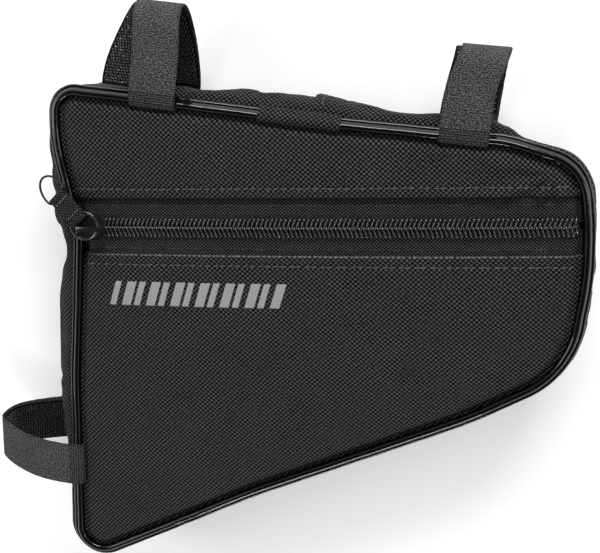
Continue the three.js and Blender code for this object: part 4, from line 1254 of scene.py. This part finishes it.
def strap_arch(reach_share, form, steps=44):
    """Line of a loop tape from the front seam over its crest to the back seam."""
    crest_share, front_round, back_round, front_leg, back_leg, front_lift, back_lift = form
    reach = STRAP_REACH * reach_share
    start = (0, FRONT_BEAD_Z + ROOT_RADIUS)
    crest_z = mix(STRAP_END[1], start[1], crest_share)
    front = bezier([start, (reach * front_leg, start[1] + STRAP_REACH * front_lift),
                    (reach, mix(crest_z, start[1], front_round)), (reach, crest_z)], steps)
    back = bezier([(reach, crest_z), (reach, mix(crest_z, STRAP_END[1], back_round)),
                   (STRAP_END[0] + reach * back_leg, STRAP_END[1] + STRAP_REACH * back_lift),
                   STRAP_END], steps)
    return np.concatenate([front, back[1:]])


def tape_frame(share, path, shifts):
    """Reader of points on a tape: place along the path, across it and out of it."""
    x, y, nx, ny = (float(v) for v in seam_at(share))
    length = run_along(path)
    tangent = np.gradient(path, axis=0)
    tangent /= np.linalg.norm(tangent, axis=1)[:, None]
    shift = STRAP_WIDTH * table_value(shifts, length / length[-1])

    def at(run, across, out):
        run, across, out = np.broadcast_arrays(np.asarray(run, float), across, out)
        n, z, tn, tz, s = (np.interp(run, length, v) for v in (*path.T, *tangent.T, shift))
        n, z = n - tz * out, z + tn * out
        return np.stack([x + nx * n + ny * (-s - across), y + ny * n - nx * (-s - across), z], -1)
    return at, length


def tape_piece(name, node, at, length, material, seed):
    """Flat tape with soft edges and square ends."""
    half, thick = STRAP_WIDTH / 2, STRAP_THICKNESS / 2
    middle = np.linspace(-half + 0.9, half - 0.9, 17)
    columns = np.concatenate([[-half, -half + 0.25], middle, [half - 0.25, half]])
    sag = np.where(np.abs(columns) > half - 0.1, 0.45, np.where(np.abs(columns) > half - 0.5, 0.12, 0.0))
    across = np.concatenate([columns, columns[::-1]])
    out = np.concatenate([-thick + sag, (thick - sag)[::-1]])
    run = np.concatenate([[0, 0.3], np.arange(1.0, length[-1] - 0.8, 1.1), [length[-1] - 0.3, length[-1]]])
    pinch = np.where((run < 0.1) | (run > length[-1] - 0.1), 0.75, 1.0)
    fray = 0.12 * wave(run[:, None] / 3.0, np.sign(across)[None, :] * 2.0, 0.0, seed)
    fray = fray * (np.abs(across) > half - 0.3)[None, :] * np.sign(across)[None, :]
    sections = at(run[:, None], across[None, :] + fray, out[None, :] * pinch[:, None])
    points, faces = swept(sections, False)
    uv = cloth_uv(run[:, None], across[None, :])
    return piece(name, points, faces, material, [node], uv=uv, sharp=50)


HOOK_PITCH = 1.45
HOOK_SPACING = 1.5
HOOK_SWAY = 0.16
HOOK_SIDES = 6
# Columns: radius in millimetres, share of the hook's height
HOOK_RINGS = [(0.34, 0.0), (0.26, 0.45), (0.50, 0.75), (0.34, 1.0)]


def hook_field(name, at, first, last, height, side, material, seed):
    """Rows of small nylon hooks on one face of a tape, as one joined mesh."""
    rng = np.random.default_rng(seed)
    runs = np.arange(first, last, HOOK_PITCH)
    columns = np.arange(-STRAP_WIDTH / 2 + 1.6, STRAP_WIDTH / 2 - 1.5, HOOK_SPACING)
    run, across = np.meshgrid(runs, columns, indexing="ij")
    across = across + np.where(np.arange(len(runs)) % 2, HOOK_SPACING / 2, 0)[:, None]
    run = run + rng.uniform(-HOOK_SWAY, HOOK_SWAY, run.shape)
    across = across + rng.uniform(-HOOK_SWAY, HOOK_SWAY, run.shape)
    tall = height * rng.uniform(0.75, 1.0, run.shape)
    run, across, tall = run.ravel(), across.ravel(), tall.ravel()
    base = side * (STRAP_THICKNESS / 2 - 0.03)
    angle = np.arange(HOOK_SIDES) * ROUND / HOOK_SIDES
    points = np.stack([at(run[:, None] + radius * np.cos(angle), across[:, None] + radius * np.sin(angle),
                          base + side * (rise * tall)[:, None]) for radius, rise in HOOK_RINGS], 1)
    count = len(HOOK_RINGS) * HOOK_SIDES
    one = grid_faces(len(HOOK_RINGS), HOOK_SIDES, wrap_columns=True)
    one += [list(range(HOOK_SIDES))[::-1], [count - HOOK_SIDES + k for k in range(HOOK_SIDES)]]
    faces = [[v + i * count for v in f] for i in range(len(run)) for f in one]
    return piece(name, points.reshape(-1, 3), faces, material)


def strap(number, row, form):
    """Loop tape over the bag's edge and the hook tape inside it, with hooks on both its faces."""
    name, share, reach, crest, back, free, hook_crest, hook_back, free_share = row
    arch_line = strap_arch(reach, form)
    root = arc(0, 0, ROOT_RADIUS, STRAP_ROOT_ANGLE, 90, 16) + [0, FRONT_BEAD_Z]
    at, length = tape_frame(share, np.concatenate([root, arch_line[1:]]),
                            [(0, 0), (0.2, 0), (0.5, crest), (1, back)])
    tape_piece(name + "_loop_tape", name + "_loop", at, length, loop_tape, 60 + number)

    step_in = STRAP_THICKNESS + CLEARANCE
    slope = np.gradient(arch_line, axis=0)
    slope /= np.linalg.norm(slope, axis=1)[:, None]
    inner = arch_line + step_in * np.stack([slope[:, 1], -slope[:, 0]], 1)
    front = inner[:, 1] > mix(BACK_BEAD_Z, FRONT_BEAD_Z, 0.5)
    start_n = STRAP_REACH * free_share
    first = [i for i in range(len(inner)) if inner[i, 0] > start_n and front[i]][0]
    t = (start_n - inner[first - 1, 0]) / (inner[first, 0] - inner[first - 1, 0])
    inner = np.concatenate([[mix(inner[first - 1], inner[first], t)], inner[first:-1],
                            [inner[-1] + [CLEARANCE, 0]]])
    at, length = tape_frame(share, inner, [(0, free), (0.45, hook_crest), (1, hook_back)])
    tape_piece(name + "_hook_tape", name + "_hook", at, length, hook_base, 70 + number)
    end = length[-1] - 4
    hook_field(name + "_inner_hooks", at, 2.0, end, 0.55, -1, hook_nylon, 80 + number)
    hook_field(name + "_outer_hooks", at, 2.0, end, 0.24, 1, worn_hooks, 90 + number)


for number, (row, form) in enumerate(zip(STRAP_TABLE, ARCH_TABLE)):
    strap(number, row, form)


# Stitches
STITCH_SIDES = 6
STITCH_LEAN = 0.22
LINE_STEP = 0.8
UP = np.array([0.0, 0.0, 1.0])
# Columns: place along a stitch as a share of its length, share of its radius
STITCH_SHAPE = [(-0.5, 0.25), (-0.36, 0.85), (0, 1.0), (0.36, 0.85), (0.5, 0.25)]


def stitches(name, lines, material, long=2.7, gap=0.9, radius=0.27, seed=1):
    """Sewn lines as one joined mesh of small round-ended stitches. Each line is its points and its upward
    direction."""
    rng = np.random.default_rng(seed)
    points, faces = [], []
    sides = STITCH_SIDES
    for path, up in lines:
        path = np.asarray(path, float)
        length = np.concatenate([[0], np.cumsum(np.linalg.norm(np.diff(path, axis=0), axis=1))])
        for start in np.arange(0.4, length[-1] - long, long + gap):
            middle = start + long / 2 + rng.uniform(-0.25, 0.25)
            spots = np.array([[np.interp(middle + s * long, length, path[:, k]) for k in range(3)]
                              for s, _ in STITCH_SHAPE])
            along = spots[-1] - spots[0]
            along /= np.linalg.norm(along)
            side = np.cross(up, along)
            side /= np.linalg.norm(side)
            over = np.cross(along, side)
            lean = rng.uniform(-0.12, 0.12) + STITCH_LEAN
            first = len(points)
            for (s, r), spot in zip(STITCH_SHAPE, spots):
                centre = spot + side * lean * s * long + over * (0.10 - 0.42 * (2 * s) ** 2 * radius)
                for k in range(sides):
                    a = k * ROUND / sides
                    points.append(centre + radius * r * (math.cos(a) * side + math.sin(a) * over))
            faces += grid_faces(len(STITCH_SHAPE), sides, wrap_columns=True, first=first)
            faces.append([first + k for k in range(sides)][::-1])
            faces.append([first + (len(STITCH_SHAPE) - 1) * sides + k for k in range(sides)])
    return piece(name, points, faces, material)


def surface_line(height, x, y, lift):
    line = []
    for a, b in zip(x, y):
        z = height(a, b)
        if z is not None:
            line.append((a, b, z + lift))
    return line


def sew_hems():
    """Stitches in the groove along each hem."""
    lines = []
    for height, hem, way in ((upper_top, HEM_HIGH, 1), (lower_top, HEM_LOW, -1)):
        y = hem + way * HEM_SEWN
        ends = [row_end(y, RIM_INSET + 2.6, s) for s in (-1, 1)]
        x = np.arange(ends[0], ends[1], LINE_STEP)
        sway = 0.25 * wave(x / 25, 0 * x, 0 * x, 101)
        lines.append((surface_line(height, x, y + sway, 0.0), UP))
    stitches("hem_stitches", lines, thread, long=2.9, gap=1.2, radius=0.36, seed=5)


def sew_tapes():
    """Fine stitches along each zip tape."""
    lines = []
    for way in (1, -1):
        y = ZIP_MIDDLE + way * TAPE_SEWN
        ends = [row_end(y, RIM_INSET + 4, s) for s in (-1, 1)]
        x = np.arange(ends[0], ends[1], LINE_STEP)
        z = tape_height(x, np.full_like(x, y))
        lines.append((np.stack([x, np.full_like(x, y), z + 0.05], 1), UP))
    stitches("tape_stitches", lines, tape_thread, long=1.5, gap=0.9, radius=0.2, seed=6)


def sew_lap():
    """Sewn line beside the turned end of the side band's lap."""
    lap_share = 1 - 5.0 / SEAM_TOTAL
    column = int(np.argmin(np.abs(gusset_share[:, 0] - lap_share)))
    outward = np.array([float(seam_at(lap_share)[2]), float(seam_at(lap_share)[3]), 0.0])
    stitches("lap_stitches", [(gusset_face[column, 3:-3], outward)], thread, seed=7)


def sew_tab():
    """Pale stitches across both ends of the pull's tab."""
    lines = []
    across = np.linspace(-TAB_WIDTH / 2 + 1.0, TAB_WIDTH / 2 - 1.0, 30)
    outward = from_tab(0, 0, 1) - from_tab(0, 0, 0)
    for along in TAB_SEAMS:
        lines.append((from_tab(along + 0 * across, across, TAB_GAP + TAB_LAYER - 0.02), outward))
    stitches("tab_stitches", lines, pale_thread, long=1.0, gap=0.75, radius=0.2, seed=8)


sew_hems()
sew_tapes()
sew_lap()
sew_tab()


# Reflective print: a plain row of slanted bars
def print_bars():
    """Row of slanted bars laid on the lower panel, as thin as a heat transfer."""
    low_y, high_y = 18.0, 31.0
    left, right = -111.0, -10.0
    count, slant, thick = 14, 4.2, 0.10
    pitch = (right - left - slant) / count
    points, faces = [], []
    for i in range(count):
        wide = pitch * (0.74 if i % 2 else 0.50)
        rows, columns = 10, 6
        block = []
        for r in range(rows):
            v = r / (rows - 1)
            for c in range(columns):
                x = left + i * pitch + slant * v + wide * c / (columns - 1)
                y = mix(low_y, high_y, v)
                block.append((x, y, lower_top(x, y)))
        block = np.array(block).reshape(rows, columns, 3)
        rim = np.zeros((rows, columns))
        rim[1:-1, 1:-1] = 1
        top = block + np.stack([0 * rim, 0 * rim, 0.04 + thick * rim], -1)
        some, made = shell(top, block - np.array([0, 0, 0.25]))
        faces += [[v + len(points) for v in f] for f in made]
        points += some.tolist()
    return piece("reflective_bars", points, faces, print_grey, sharp=60)


print_bars()
